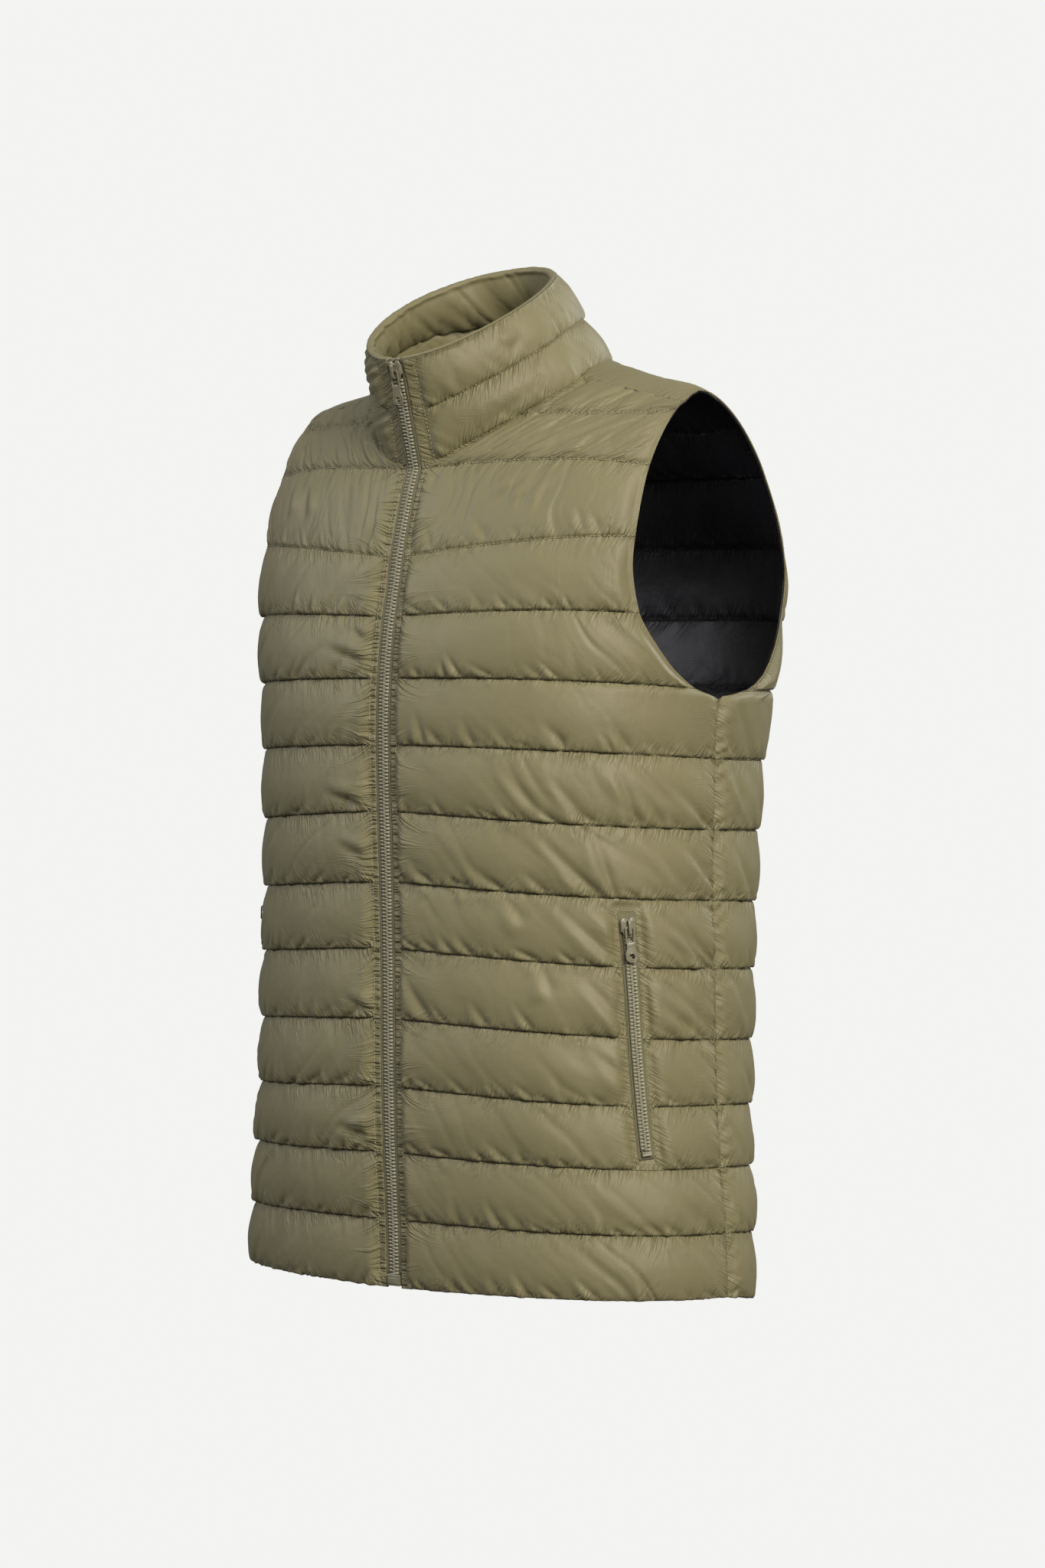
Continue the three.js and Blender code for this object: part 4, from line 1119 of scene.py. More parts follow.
    def stitched(self, grid: Grid, cloth: Array) -> list[Mesh]:
        """See QuiltedPanel.stitched: also the zip band and the pocket's border."""
        normal = face_normals(cloth)
        rows = super().stitched(grid, cloth)
        column_at = nearest(grid.across.mean(0), self.band)
        rows.append(TOPSTITCHES.along(cloth[:, column_at], normal[:, column_at], self.seed + 50))
        inside = (grid.height > POCKET.bottom - 3) & (grid.height < POCKET.top + 3)
        for side in (-1, 1):
            picked = [nearest(row, side * 7.4) for row in self.from_pocket(grid)]
            keep = [k for k in range(len(picked)) if inside[k, picked[k]]]
            at = np.array(keep), np.array(picked)[keep]
            rows.append(TOPSTITCHES.along(cloth[at], normal[at], self.seed + 52 + side))
        for z in (POCKET.bottom - 2.5, POCKET.top + 2.5):
            row = nearest(grid.height[:, self.pocket_column], z)
            keep = np.abs(self.from_pocket(grid)[row]) < 7.8
            rows.append(TOPSTITCHES.along(cloth[row, keep], normal[row, keep], self.seed + 56))
        return rows


@dataclass
class BackPanel(QuiltedPanel):
    """The whole back of the shell, from side seam to side seam and from the hem to the neckline."""

    bulge: Bulge = (0.5, 0.35, 0.1, 0.35)
    puff: float = 4.4
    turning: float = 250.0

    def grid(self) -> Grid:
        """See QuiltedPanel.grid."""
        shares = columns_of(BackCut(), SPACING_LINE, (9, 1.3), (520, 2.0), (9, 1.3), first=1, last=-1)
        counts = (20,) * LEVEL + (24, 24)
        return Grid.of(BackCut(), shares, lambda k: counts[k])

    def cover(self, grid: Grid) -> Array:
        """See QuiltedPanel.cover: flat at the side seams and the armholes."""
        armhole = grid.at_armhole()
        edge = grid.edge - mix(0.5, 3.0, armhole)
        return smooth_step(0, mix(9, 20, armhole), edge) ** 0.55 * grid.below_shoulders()

    def fine(self, grid: Grid) -> Array:
        """See QuiltedPanel.fine: also puckers along the side seams."""
        return super().fine(grid) + seam_bites(grid.edge, grid.height, self.seed + 8)

    def dragged(self, grid: Grid, size: float, seed: int) -> Array:
        """See QuiltedPanel.dragged: towards the centre from both sides, strongest beside the side seams."""
        sides = grid.drags(0.8, size, seed), grid.drags(-0.8, size, seed + 2)
        share = smooth_step(-60, 60, grid.across - grid.beyond)
        return (0.4 + 0.5 * np.exp(-grid.edge / 50)) * mix(*sides, share)

    def excess(self, grid: Grid) -> tuple[Array, Array]:
        """See QuiltedPanel.excess: cloth is eased in along the side seams."""
        across, up = super().excess(grid)
        patchy = np.maximum(0.2, 1 + 0.8 * cloud(grid.height, grid.across * 0.5, 34, self.seed + 40))
        return across, up + patchy * 0.07 * np.exp(-grid.edge / 10)


@dataclass
class LiningPanel(QuiltedPanel):
    """A lining: its cut seen from inside, with thinner wadding."""

    cut: Cut = field(default_factory=FrontCut)
    first: float = 1.0
    last: float = 0.0
    flat: float = LINING_GAP + LINING_FLAT
    puff: float = LINING_PUFF
    gap: float = LINING_GAP
    gather: float = 0.35
    bulge: Bulge = (0.3, 0.1, 0.1, 0.1)
    droop: float = 0.5

    def grid(self) -> Grid:
        """See QuiltedPanel.grid; the columns run the other way, so that outwards is into the vest."""
        width = 280 if self.last == 0 else 560
        shares = columns_of(self.cut, SPACING_LINE, (width, 4.2), first=self.first, last=self.last)
        return Grid.of(self.cut, shares, lambda k: 12 if k < LEVEL else 16)

    def cover(self, grid: Grid) -> Array:
        """See QuiltedPanel.cover."""
        return smooth_step(0, 12, grid.edge) ** 0.6


@dataclass
class Collar(QuiltedPanel):
    """The stand collar: one pad of shell cloth on both faces, quilted once along its middle."""

    bulge: Bulge = (0.1, 0.4, 1.8, 0.4)
    gather: float = 0.4
    every: int = 1
    droop: float = 6.0
    band: float = 9.0
    turning: float = 200.0
    folded: float = 0.3

    def face(self, first: float, last: float, flat: float, puff: float, seed: int) -> tuple[Grid, Array]:
        """One settled face of the collar.

        Args:
            first: share of its first column.
            last: share of its last.
            flat: its thickness at a stitch.
            puff: how much more at a crest.
            seed: which unevenness.

        Returns:
            The grid and the cloth.
        """
        shares = columns_of(CollarCut(), 1.0, (14, 1.2), (400, 2.1), (14, 1.2), first=first, last=last)
        grid = Grid.of(CollarCut(), shares, lambda k: 22)
        self.flat, self.puff, self.seed = flat, puff, seed
        return grid, self.settled(grid)

    def cover(self, grid: Grid) -> Array:
        """See QuiltedPanel.cover: flat beside the zip."""
        return smooth_step(0, 9, grid.edge - self.band) ** 0.55

    def detail(self, grid: Grid, lift: Array) -> Array:
        """See QuiltedPanel.detail: the rim stays full where the cloth turns over it."""
        rim = smooth_step(0.5, 1.0, grid.rise) * (grid.channel[:, None] == 1)
        return np.maximum(lift, self.flat + 0.3 * self.puff * rim)

    def fine(self, grid: Grid) -> Array:
        """See QuiltedPanel.fine: also pleats beside the zip."""
        edge = grid.edge
        pleat = pleats(grid.height + 3 * cloud(grid.height, edge, 12, self.seed + 6), 7)
        fade = smooth_step(0.2, 1.2, edge) * np.exp(-np.maximum(0, edge - self.band) / 4)
        soft = self.folded * grid.drags(2.0, 13, self.seed + 95) * self.cover(grid)
        return super().fine(grid) + 0.4 * pleat * fade + soft

    def edges(self, grid: Grid) -> tuple[Array, Array]:
        """See QuiltedPanel.edges."""
        at_zip = 0.55 * smooth_step(0.2, 1.2, grid.edge) * np.exp(-np.maximum(0, grid.edge - 6) / 5)
        return grid.height + 0.3 * grid.edge, at_zip

    def stitched(self, grid: Grid, cloth: Array) -> list[Mesh]:
        """See QuiltedPanel.stitched: also the topstitching beside the zip."""
        rows = super().stitched(grid, cloth)
        normal = face_normals(cloth)
        for edge in (grid.across, grid.beyond):
            column_at = nearest(edge.mean(0), self.band)
            rows.append(TOPSTITCHES.along(cloth[:, column_at], normal[:, column_at], 7))
        return rows

    def build(self) -> bpy.types.Object:
        """See QuiltedPanel.build."""
        grid, cloth = self.face(1, -1, SHELL_FLAT, SHELL_PUFF * 0.9, self.seed)
        self.folded = 2.4
        _, inside = self.face(-1, 1, LINING_GAP + LINING_FLAT, 7.0, self.seed + 100)
        mesh = wall(cloth, inside[:, ::-1], self.bulge, self.every, 7)
        piece = make_object(self.name, *mesh, self.slot, marks=self.marks(grid))
        make_object("stitches_collar", *joined(self.stitched(grid, cloth)), self.slot)
        log.info("%s: %d faces", self.name, len(piece.data.polygons))
        return piece


# ---- Zips ----
class Track:
    """A line along which a zip lies, with its directions up the zip, outwards and across."""

    def __init__(self, place: Array, normal: Array) -> None:
        """Takes points from the bottom up, and outward directions there."""
        self.place = place
        self.lengths = path_lengths(place)
        self.up = unit(np.gradient(place, axis=0))
        self.out = unit(normal - self.up * np.sum(normal * self.up, -1, keepdims=True))
        self.aside = np.cross(self.up, self.out)

    def _at(self, values: Array, along_it: Array) -> Array:
        """Vectors at distances up the zip."""
        return on_path(values, self.lengths, along_it)

    def bent(self, points: Array) -> Array:
        """Points given as (across, outwards, up the zip), each placed where the zip is at its own height."""
        up = points[..., 2]
        spread = self._at(self.aside, up) * points[..., :1] + self._at(self.out, up) * points[..., 1:2]
        return self._at(self.place, up) + spread

    def rigid(self, points: Array, at: float) -> Array:
        """Points given as (across, outwards, up), placed as one stiff piece at a distance up the zip."""
        vectors = self.place, self.aside, self.out, self.up
        place, aside, out, up = (self._at(vector, np.array(at)) for vector in vectors)
        return place + points[..., :1] * aside + points[..., 1:2] * out + points[..., 2:] * up

    def stiff(self, mesh: Mesh, at: float) -> Mesh:
        """A whole mesh placed like the points of `rigid`."""
        return self.rigid(mesh[0], at), mesh[1]

    def at_height(self, z: float) -> float:
        """Distance up the zip of a height."""
        return float(np.interp(z, self.place[:, 2], self.lengths))


def rounded(corners: Sequence[tuple[float, float, float]], steps: int = 5) -> Outline:
    """A closed outline with rounded corners.

    Args:
        corners: each corner's two coordinates and radius.
        steps: points in each corner.

    Returns:
        The outline's points.
    """
    points = []
    for k, (x, y, radius) in enumerate(corners):
        corner = Vector((x, y))
        before = (Vector(corners[k - 1][:2]) - corner).normalized()
        after = (Vector(corners[(k + 1) % len(corners)][:2]) - corner).normalized()
        half = before.angle(after) / 2
        reach = radius / math.tan(half)
        centre = corner + (before + after).normalized() * radius / math.sin(half)
        first, last = corner + before * reach - centre, corner + after * reach - centre
        sweep = first.angle_signed(last)
        for i in range(steps + 1):
            turn = -sweep * i / steps
            points.append(tuple(centre + Matrix.Rotation(turn, 2) @ first))
    return points


def block(half: float, low: float, high: float, radius: float) -> Outline:
    """The outline of a rounded rectangle between two heights."""
    return rounded([(-half, low, radius), (half, low, radius), (half, high, radius), (-half, high, radius)])


def round_hole(x: float, y: float, radius: float, steps: int = 20) -> Outline:
    """A circle's points."""
    turns = [2 * math.pi * k / steps for k in range(steps)]
    return [(x + radius * math.cos(turn), y + radius * math.sin(turn)) for turn in turns]


def plate(outlines: Sequence[Outline], thickness: float, edge: float) -> Mesh:
    """A plate with rounded edges.

    Args:
        outlines: its outline, then its holes, in two coordinates.
        thickness: its thickness.
        edge: radius of its edges.

    Returns:
        Vertices, whose third coordinate is across the thickness, and faces.
    """
    curve = bpy.data.curves.new("outline", "CURVE")
    curve.dimensions, curve.fill_mode = "2D", "BOTH"
    curve.extrude, curve.bevel_depth, curve.bevel_resolution = thickness / 2 - edge, edge, 1
    curve.offset = -edge
    for outline in outlines:
        spline = curve.splines.new("POLY")
        spline.points.add(len(outline) - 1)
        for point, (x, y) in zip(spline.points, outline):
            point.co = (x, y, 0, 1)
        spline.use_cyclic_u = True
    shape = bpy.data.objects.new("outline", curve)
    mesh = bpy.data.meshes.new_from_object(shape)
    form = bmesh.new()
    form.from_mesh(mesh)
    bmesh.ops.remove_doubles(form, verts=form.verts, dist=1e-3)
    bmesh.ops.recalc_face_normals(form, faces=form.faces)
    form.verts.index_update()
    points = np.array([v.co for v in form.verts])
    faces = [tuple(v.index for v in face.verts) for face in form.faces]
    form.free()
    bpy.data.objects.remove(shape)
    bpy.data.meshes.remove(mesh)
    bpy.data.curves.remove(curve)
    return points, faces


def facing_out(mesh: Mesh) -> Mesh:
    """A plate's mesh turned so that its outline is across and up and its thickness is outwards."""
    return mesh[0][:, (0, 2, 1)], turned_over(mesh[1])


def on_edge(mesh: Mesh) -> Mesh:
    """A plate's mesh turned so that its outline is up and outwards and its thickness is across."""
    return mesh[0][:, (2, 1, 0)], turned_over(mesh[1])


def shifted(mesh: Mesh, across: float = 0, out: float = 0, up: float = 0) -> Mesh:
    """A mesh moved by distances across, outwards and up."""
    return mesh[0] + (across, out, up), mesh[1]


@dataclass(frozen=True)
class Teeth:
    """A closed chain of moulded teeth, alternating from both tapes.

    Attributes:
        half_width: half the chain's width.
        inner: how far out its hidden face is.
        outer: how far out its crests are.
        pitch: distance between neighbouring teeth of one side.
    """

    # The cord's ring of points: shares of the half width, and of the way out from the hidden face.
    CORD = ((1.09, 0.5), (0.72, 0.35), (0.05, 0.15), (0.72, 0.0))
    half_width: float
    inner: float
    outer: float
    pitch: float = 2.5

    def tooth(self) -> Mesh:
        """One tooth of the side at +across: wide root, narrow neck, rounded head past the middle."""
        outline = [
            (1.0, 1.10), (0.93, 1.52), (0.48, 1.50), (0.36, 0.80), (0.22, 0.64), (0.08, 0.94), (-0.10, 1.0),
            (-0.25, 0.80), (-0.33, 0.0),
        ]
        outline += [(x, -y) for x, y in outline[-2::-1]]
        half = self.pitch * 0.25
        rings = ((self.inner, 1.45), (mix(self.inner, self.outer, 0.75), 1.0), (self.outer, 0.72))
        middle = 0.34
        points = []
        for out, size in rings:
            spread = mix(1, min(size, 1), 0.6)
            for x, y in outline:
                across = (middle + (x - middle) * spread) * self.half_width
                points.append((across, out, y * half * size))
        return np.array(points), tube_faces(len(rings), len(outline))

    def chain(self, track: Track, start: float, end: float) -> Mesh:
        """The chain between two distances up the zip, with the cord each side's teeth are moulded on."""
        points, faces = self.tooth()
        other_points, other_faces = mirror(points, faces)
        count = int((end - start) / self.pitch - 0.5)
        parts = []
        for k in range(count):
            low = start + self.pitch * (k + 0.3)
            parts.append((track.bent(points + (0, 0, low)), faces))
            parts.append((track.bent(other_points + (0, 0, low + self.pitch / 2)), other_faces))
        heights = np.arange(start, end, 4.0)
        ring = [(x * self.half_width, mix(self.inner, self.outer, y)) for x, y in self.CORD]
        for sign in (-1, 1):
            cord = np.array([[(sign * x, y, height) for x, y in ring] for height in heights])
            parts.append((track.bent(cord), tube_faces(len(heights), 4, sign < 0)))
        return joined(parts)


def tube_faces(rings: int, sides: int, flipped: bool = False) -> list:
    """Faces of a closed tube of rings of points, with its ends capped."""
    faces = []
    for low in range(0, (rings - 1) * sides, sides):
        for k in range(sides):
            n = (k + 1) % sides
            faces.append((low + k, low + n, low + sides + n, low + sides + k))
    faces += [tuple(range(sides - 1, -1, -1)), tuple(range((rings - 1) * sides, rings * sides))]
    return turned_over(faces) if flipped else faces


def tape(track: Track, low: float, high: float, inner: float, outer: float, start: float, end: float,
         bead: float = 0.25) -> Mesh:
    """A strip of woven tape with a bead along each edge.

    Args:
        track: the zip's line.
        low: its first edge, across.
        high: its last edge.
        inner: how far out its hidden face is.
        outer: how far out its face is.
        start: distance up the zip of its lower end.
        end: the same of its upper end.
        bead: how much its edges stand proud.

    Returns:
        Vertices and faces.
    """
    shares = np.array([0, 0.12, 0.28, 0.5, 0.72, 0.88, 1.0])
    heights = np.linspace(start, end, max(2, round((end - start) / 2.5)))
    proud = np.array([0, bead, 0, 0, 0, bead, 0])
    across = np.broadcast_to(mix(low, high, shares), (len(heights), 7))
    up = np.broadcast_to(heights[:, None], across.shape)
    front = track.bent(np.stack([across, np.broadcast_to(outer + proud, across.shape), up], -1))
    behind = track.bent(np.stack([across, np.full(across.shape, inner), up], -1))
    return wall(front, behind, (0.1, 0.1, 0.1, 0.1), 3, 1)


@dataclass(frozen=True)
class SliderShape:
    """A die-cast slider: a shield-shaped plate with turned-in flanges, a bridge, and its back plate.

    Attributes:
        face: how far out the front plate's hidden face is.
        back: how far out the back plate's face is, or None where the tape hides it.
    """

    face: float
    back: float | None
    half_width: float = 5.5
    length: float = 13.4
    plate: float = 1.2
    rise: float = 3.6
    opening: float = 2.6
    strap: float = 2.2
    reach: float = 5.2

    def pivot(self) -> float:
        """How far out the pull's pivot is."""
        return self.face + self.plate + self.opening / 2

    def shield(self, inset: float = 0.0) -> Outline:
        """The plate's outline: broad shoulders at the top, narrower where the teeth come out joined."""
        half, end = self.half_width - inset, self.length / 2
        right = [
            (3.0, -end, 1.2), (half - 1.2, -end + 3.2, 2.4), (half, end - 2.2, 1.6), (half - 1.2, end, 0.8),
        ]
        notch = [(1.7, end, 0.6), (0, end - 3.2, 0.9), (-1.7, end, 0.6)]
        return rounded(right + notch + [(-x, z, r) for x, z, r in reversed(right)])

    def mesh(self) -> Mesh:
        """The slider, as (across, outwards, up) from its own middle."""
        end = self.length / 2
        front = facing_out(plate([self.shield()], self.plate, 0.35))
        parts = [shifted(front, out=self.face + self.plate / 2)]
        reach, top = self.reach, self.plate + self.rise
        outer = [(-reach, 0, 0.1), (-reach, top - 0.2, 1.6), (reach, top - 0.2, 1.6), (reach, 0, 0.1)]
        hole_top = self.plate + self.opening
        right = [(reach - 1, hole_top, 0.9), (reach - 1, self.plate * 0.5, 0.1)]
        inner = [(-x, z, r) for x, z, r in reversed(right)] + right
        bridge = plate([rounded(outer), rounded(inner)], self.strap, 0.3)
        parts.append(shifted(on_edge(bridge), out=self.face + 0.1))
        depth = self.face + 0.6
        for sign in (-1, 1):
            corners = (-2.4, 1.0), (end - 2.6, 1.0), (end - 2.2, depth), (-2.8, depth)
            flange = on_edge(plate([rounded([(*corner, 0.3) for corner in corners])], 0.9, 0.25))
            parts.append(shifted(flange, across=sign * (self.half_width - 0.6)))
        core = rounded([(-1.0, -1.0, 0.5), (1.0, -1.0, 0.5), (2.6, end - 1.2, 0.9), (-2.6, end - 1.2, 0.9)])
        low = self.back if self.back is not None else 1.1
        parts.append(shifted(facing_out(plate([core], self.face - low, 0.2)), out=(self.face + low) / 2))
        if self.back is not None:
            behind = facing_out(plate([self.shield(0.5)], self.plate, 0.35))
            parts.append(shifted(behind, out=self.back - self.plate / 2))
        return joined(parts)


@dataclass(frozen=True)
class PullShape:
    """A die-cast pull tab: a long eye, a waist, and a broad round end with a hole, all with a raised rim."""

    length: float = 24.0
    half_width: float = 4.4
    thickness: float = 1.3

    def mesh(self) -> Mesh:
        """The pull, as (across, outwards, up) from its pivot."""
        half, end = self.half_width, self.length
        right = [(3.5, 0.7, 1.4), (3.6, -9.0, 4.0), (3.1, -13.6, 5.0), (half, -17.4, 3.6), (half, -end, 3.9)]
        outline = rounded([(-x, z, r) for x, z, r in right] + list(reversed(right)), 8)
        eye = rounded([(-2.2, -10, 0.7), (2.2, -10, 0.7), (2.3, -0.7, 0.9), (-2.3, -0.7, 0.9)])
        body = facing_out(plate([outline, eye, round_hole(0, 4.1 - end, 2.1)], self.thickness - 0.4, 0.3))
        inner = [
            (2.8, 0.1, 1.0), (2.9, -9.0, 3.6), (2.4, -13.6, 4.6), (half - 0.7, -17.4, 3.0),
            (half - 0.7, 0.7 - end, 3.2),
        ]
        inside = rounded([(-x, z, r) for x, z, r in inner] + list(reversed(inner)), 8)
        rim = facing_out(plate([outline, inside], self.thickness, 0.3))
        circles = [round_hole(0, 4.1 - end, radius, 28) for radius in (2.75, 2.0)]
        ring = facing_out(plate(circles, self.thickness, 0.25))
        return joined([body, rim, ring])


CHAIN_END = 3.3  # how far below a slider's middle its closed chain ends


@dataclass
class FrontZip:
    """The front zip: teeth, tapes, retainer box, top stops, slider and pull."""

    teeth: Teeth = Teeth(4.3, -1.0, 1.5)
    slider: SliderShape = SliderShape(face=1.8, back=-1.3)
    tape_inner: float = 4.6
    tape_outer: float = 6.4
    slider_drop: float = 7.8

    def track(self) -> Track:
        """The zip's line, from the hem to the collar's top."""
        hem, seam = float(line("zip", 0)), float(line("zip", LEVEL))
        z = np.arange(hem, CollarCut.front_top + 0.01, 2.0)
        rim = CollarCut.centre_y - CollarCut.half_depth
        at_seam = float(SURFACE.depth(np.array(0.0), np.array(seam), Side.FRONT))
        share = np.clip((z - seam) / (CollarCut.front_top - seam), 0, 1)
        y = np.where(z < seam, SURFACE.depth(z * 0, z, Side.FRONT), mix(at_seam, rim, share))
        return Track(np.stack([z * 0, y, z], -1), np.broadcast_to([0.0, -1.0, 0.0], (len(z), 3)))

    def build(self) -> Pieces:
        """Makes the zip's pieces, by the names of what they are."""
        track = self.track()
        top, hem = CollarCut.front_top, float(line("zip", 0))
        tape_start, tape_end = track.at_height(hem + 9.3), track.at_height(top)
        middle = track.at_height(top - self.slider_drop)
        edges = ((self.tape_inner, self.tape_outer), (-self.tape_outer, -self.tape_inner))
        strips = [tape(track, low, high, 0.1, 0.85, tape_start, tape_end, 0.2) for low, high in edges]
        pieces = {"tape": make_object("front_zip_tapes", *joined(strips), "zip_tape")}
        chain = self.teeth.chain(track, tape_start, middle - CHAIN_END)
        pieces["teeth"] = make_object("front_zip_teeth", *chain, "zip_teeth")
        half = 5.8
        outline = rounded([(-half, -4.0, 0.8), (half, -4.0, 0.8), (half, 4.0, 0.6), (-half, 4.0, 0.6)])
        box = shifted(facing_out(plate([outline], 3.6, 0.5)), out=0.4)
        ridge = block(half - 1, -2.6, 1.6, 0.4)
        crest = shifted(facing_out(plate([ridge], 0.7, 0.25)), out=2.3)
        box = track.stiff(joined([box, crest]), track.at_height(hem + 5))
        pieces["box"] = make_object("front_zip_box", *box, "zip_metal")
        stops = []
        for sign in (-1, 1):
            form = rounded([(0.6, -0.8, 0.3), (4.3, -0.8, 0.3), (4.3, 0.8, 0.3), (0.6, 0.8, 0.3)])
            stop = shifted(facing_out(plate([form], 2.4, 0.3)), out=0.3)
            stops.append(stop if sign > 0 else mirror(*stop))
        stops = track.stiff(joined(stops), middle + self.slider_drop)
        pieces["stops"] = make_object("front_zip_top_stops", *stops, "zip_metal")
        slider = track.stiff(self.slider.mesh(), middle)
        pieces["slider"] = make_object("front_zip_slider", *slider, "zip_metal")
        pull = track.stiff(shifted(PullShape().mesh(), out=self.slider.pivot()), middle)
        pieces["pull"] = make_object("front_zip_pull", *pull, "zip_metal", "front_pull")
        log.info("front zip: %d faces of teeth", len(pieces["teeth"].data.polygons))
        return pieces


@dataclass
class PocketZip:
    """A hand pocket's zip in its slot: tape, teeth, bottom stop, slider and pull."""

    side: str
    teeth: Teeth = Teeth(3.6, 1.1, 3.0)
    slider: SliderShape = SliderShape(face=3.3, back=None)

    def track(self) -> Track:
        """The pocket's line on the wearer's left, from the bottom up."""
        z = np.linspace(POCKET.bottom, POCKET.top, 60)
        x = SURFACE.turned_x(POCKET.turn(z), z)
        place = np.stack([x, SURFACE.depth(x, z, Side.FRONT), z], -1)
        nudged = x + 1.0
        across = np.stack([nudged, SURFACE.depth(nudged, z, Side.FRONT), z], -1) - place
        return Track(place, unit(np.cross(across, np.gradient(place, axis=0))))

    def build(self) -> Pieces:
        """Makes the zip's pieces, by the names of what they are."""
        track = self.track()
        whole = float(track.lengths[-1])
        middle = track.at_height(POCKET.top - 8.7)
        flip = mirror if self.side == "right" else lambda points, faces: (points, faces)
        strip = tape(track, -5.5, 5.5, 0.1, 0.95, 0.2, whole - 0.2, 0.0)
        stop = shifted(facing_out(plate([block(3.6, -1.6, 1.6, 0.4)], 2.3, 0.4)), out=2.4)
        pull = shifted(PullShape().mesh(), out=self.slider.pivot())
        named = {
            "tape": ("zip_tape", strip),
            "teeth": ("zip_teeth", self.teeth.chain(track, 6.3, middle - CHAIN_END)),
            "stop": ("zip_metal", track.stiff(stop, 4.3)),
            "slider": ("zip_metal", track.stiff(self.slider.mesh(), middle)),
            "pull": ("zip_metal", track.stiff(pull, middle)),
        }
        pieces = {}
        for part, (slot, mesh) in named.items():
            body = f"{self.side}_pocket_pull" if part == "pull" else "garment"
            pieces[part] = make_object(f"pocket_zip_{part}_{self.side}", *flip(*mesh), slot, body)
        log.info("pocket zip, %s: %d faces of teeth", self.side, len(pieces["teeth"].data.polygons))
        return pieces


# ---- Finishes ----
def linear(colour: str, alpha: float = 1.0) -> tuple[float, float, float, float]:
    """A colour written as sRGB hex, turned linear."""
    parts = [int(colour[k:k + 2], 16) / 255 for k in (1, 3, 5)]
    flat = [c / 12.92 if c <= 0.04045 else ((c + 0.055) / 1.055) ** 2.4 for c in parts]
    return (*flat, alpha)


def add_node(tree: bpy.types.NodeTree, kind: str, inputs: dict, **settings: Any) -> bpy.types.Node:
    """Adds a node with its settings and links.

    Args:
        tree: the material's nodes.
        kind: the node's type, without its ShaderNode prefix.
        inputs: values or other nodes' outputs, by the name or number of the input that takes them.
        settings: the node's own settings.

    Returns:
        The node.
    """
    made = tree.nodes.new(f"ShaderNode{kind}")
    for name, value in settings.items():
        setattr(made, name, value)
    for name, value in inputs.items():
        if isinstance(value, bpy.types.NodeSocket):
            tree.links.new(value, made.inputs[name])
        else:
            made.inputs[name].default_value = value
    return made


def fresh_tree(owner: bpy.types.Material | bpy.types.World) -> bpy.types.NodeTree:
    """The emptied node tree of a new material or world."""
    owner.use_nodes = True
    owner.node_tree.nodes.clear()
    return owner.node_tree


@dataclass(frozen=True)
class Finish:
    """What a surface is made of and how it was made, as a procedural material.

    Attributes:
        name: its name.
        colour: its average colour, sRGB hex.
        dark: its colour where it is darkest.
        roughness: its roughness.
        ior: its index of refraction.
    """

    # How far the roughness strays below and above its average.
    STRAY = (0.05, 0.08)
    name: str
    colour: str
    dark: str
    roughness: float
    ior: float

    def pattern(self, tree: bpy.types.NodeTree, place: bpy.types.NodeSocket) -> tuple:
        """Sockets of the surface's colour, of how rough it is from 0 to 1 and of its normal, by position."""
        raise NotImplementedError

    def settings(self) -> dict[str, Any]:
        """More of the shader's own values, the same all over."""
        return {}

    def material(self) -> bpy.types.Material:
        """The material, made once."""
        if self.name in bpy.data.materials:
            return bpy.data.materials[self.name]
        made = bpy.data.materials.new(self.name)
        tree = fresh_tree(made)
        place = add_node(tree, "TexCoord", {}).outputs["Object"]
        colour, share, normal = self.pattern(tree, place)
        low, high = self.roughness - self.STRAY[0], self.roughness + self.STRAY[1]
        rough = add_node(tree, "MapRange", {"Value": share, "To Min": low, "To Max": high}).outputs[0]
        values = {"Base Color": colour, "Roughness": rough, "Normal": normal, "IOR": self.ior}
        shader = add_node(tree, "BsdfPrincipled", {**values, **self.settings()})
        add_node(tree, "OutputMaterial", {"Surface": shader.outputs[0]})
        return made

    def dress(self, *pieces: bpy.types.Object) -> None:
        """Puts the finish on pieces."""
        for piece in pieces:
            piece.data.materials.clear()
            piece.data.materials.append(self.material())


BAND_SCALE = 0.314  # the scale at which a wave texture's bands are one unit apart


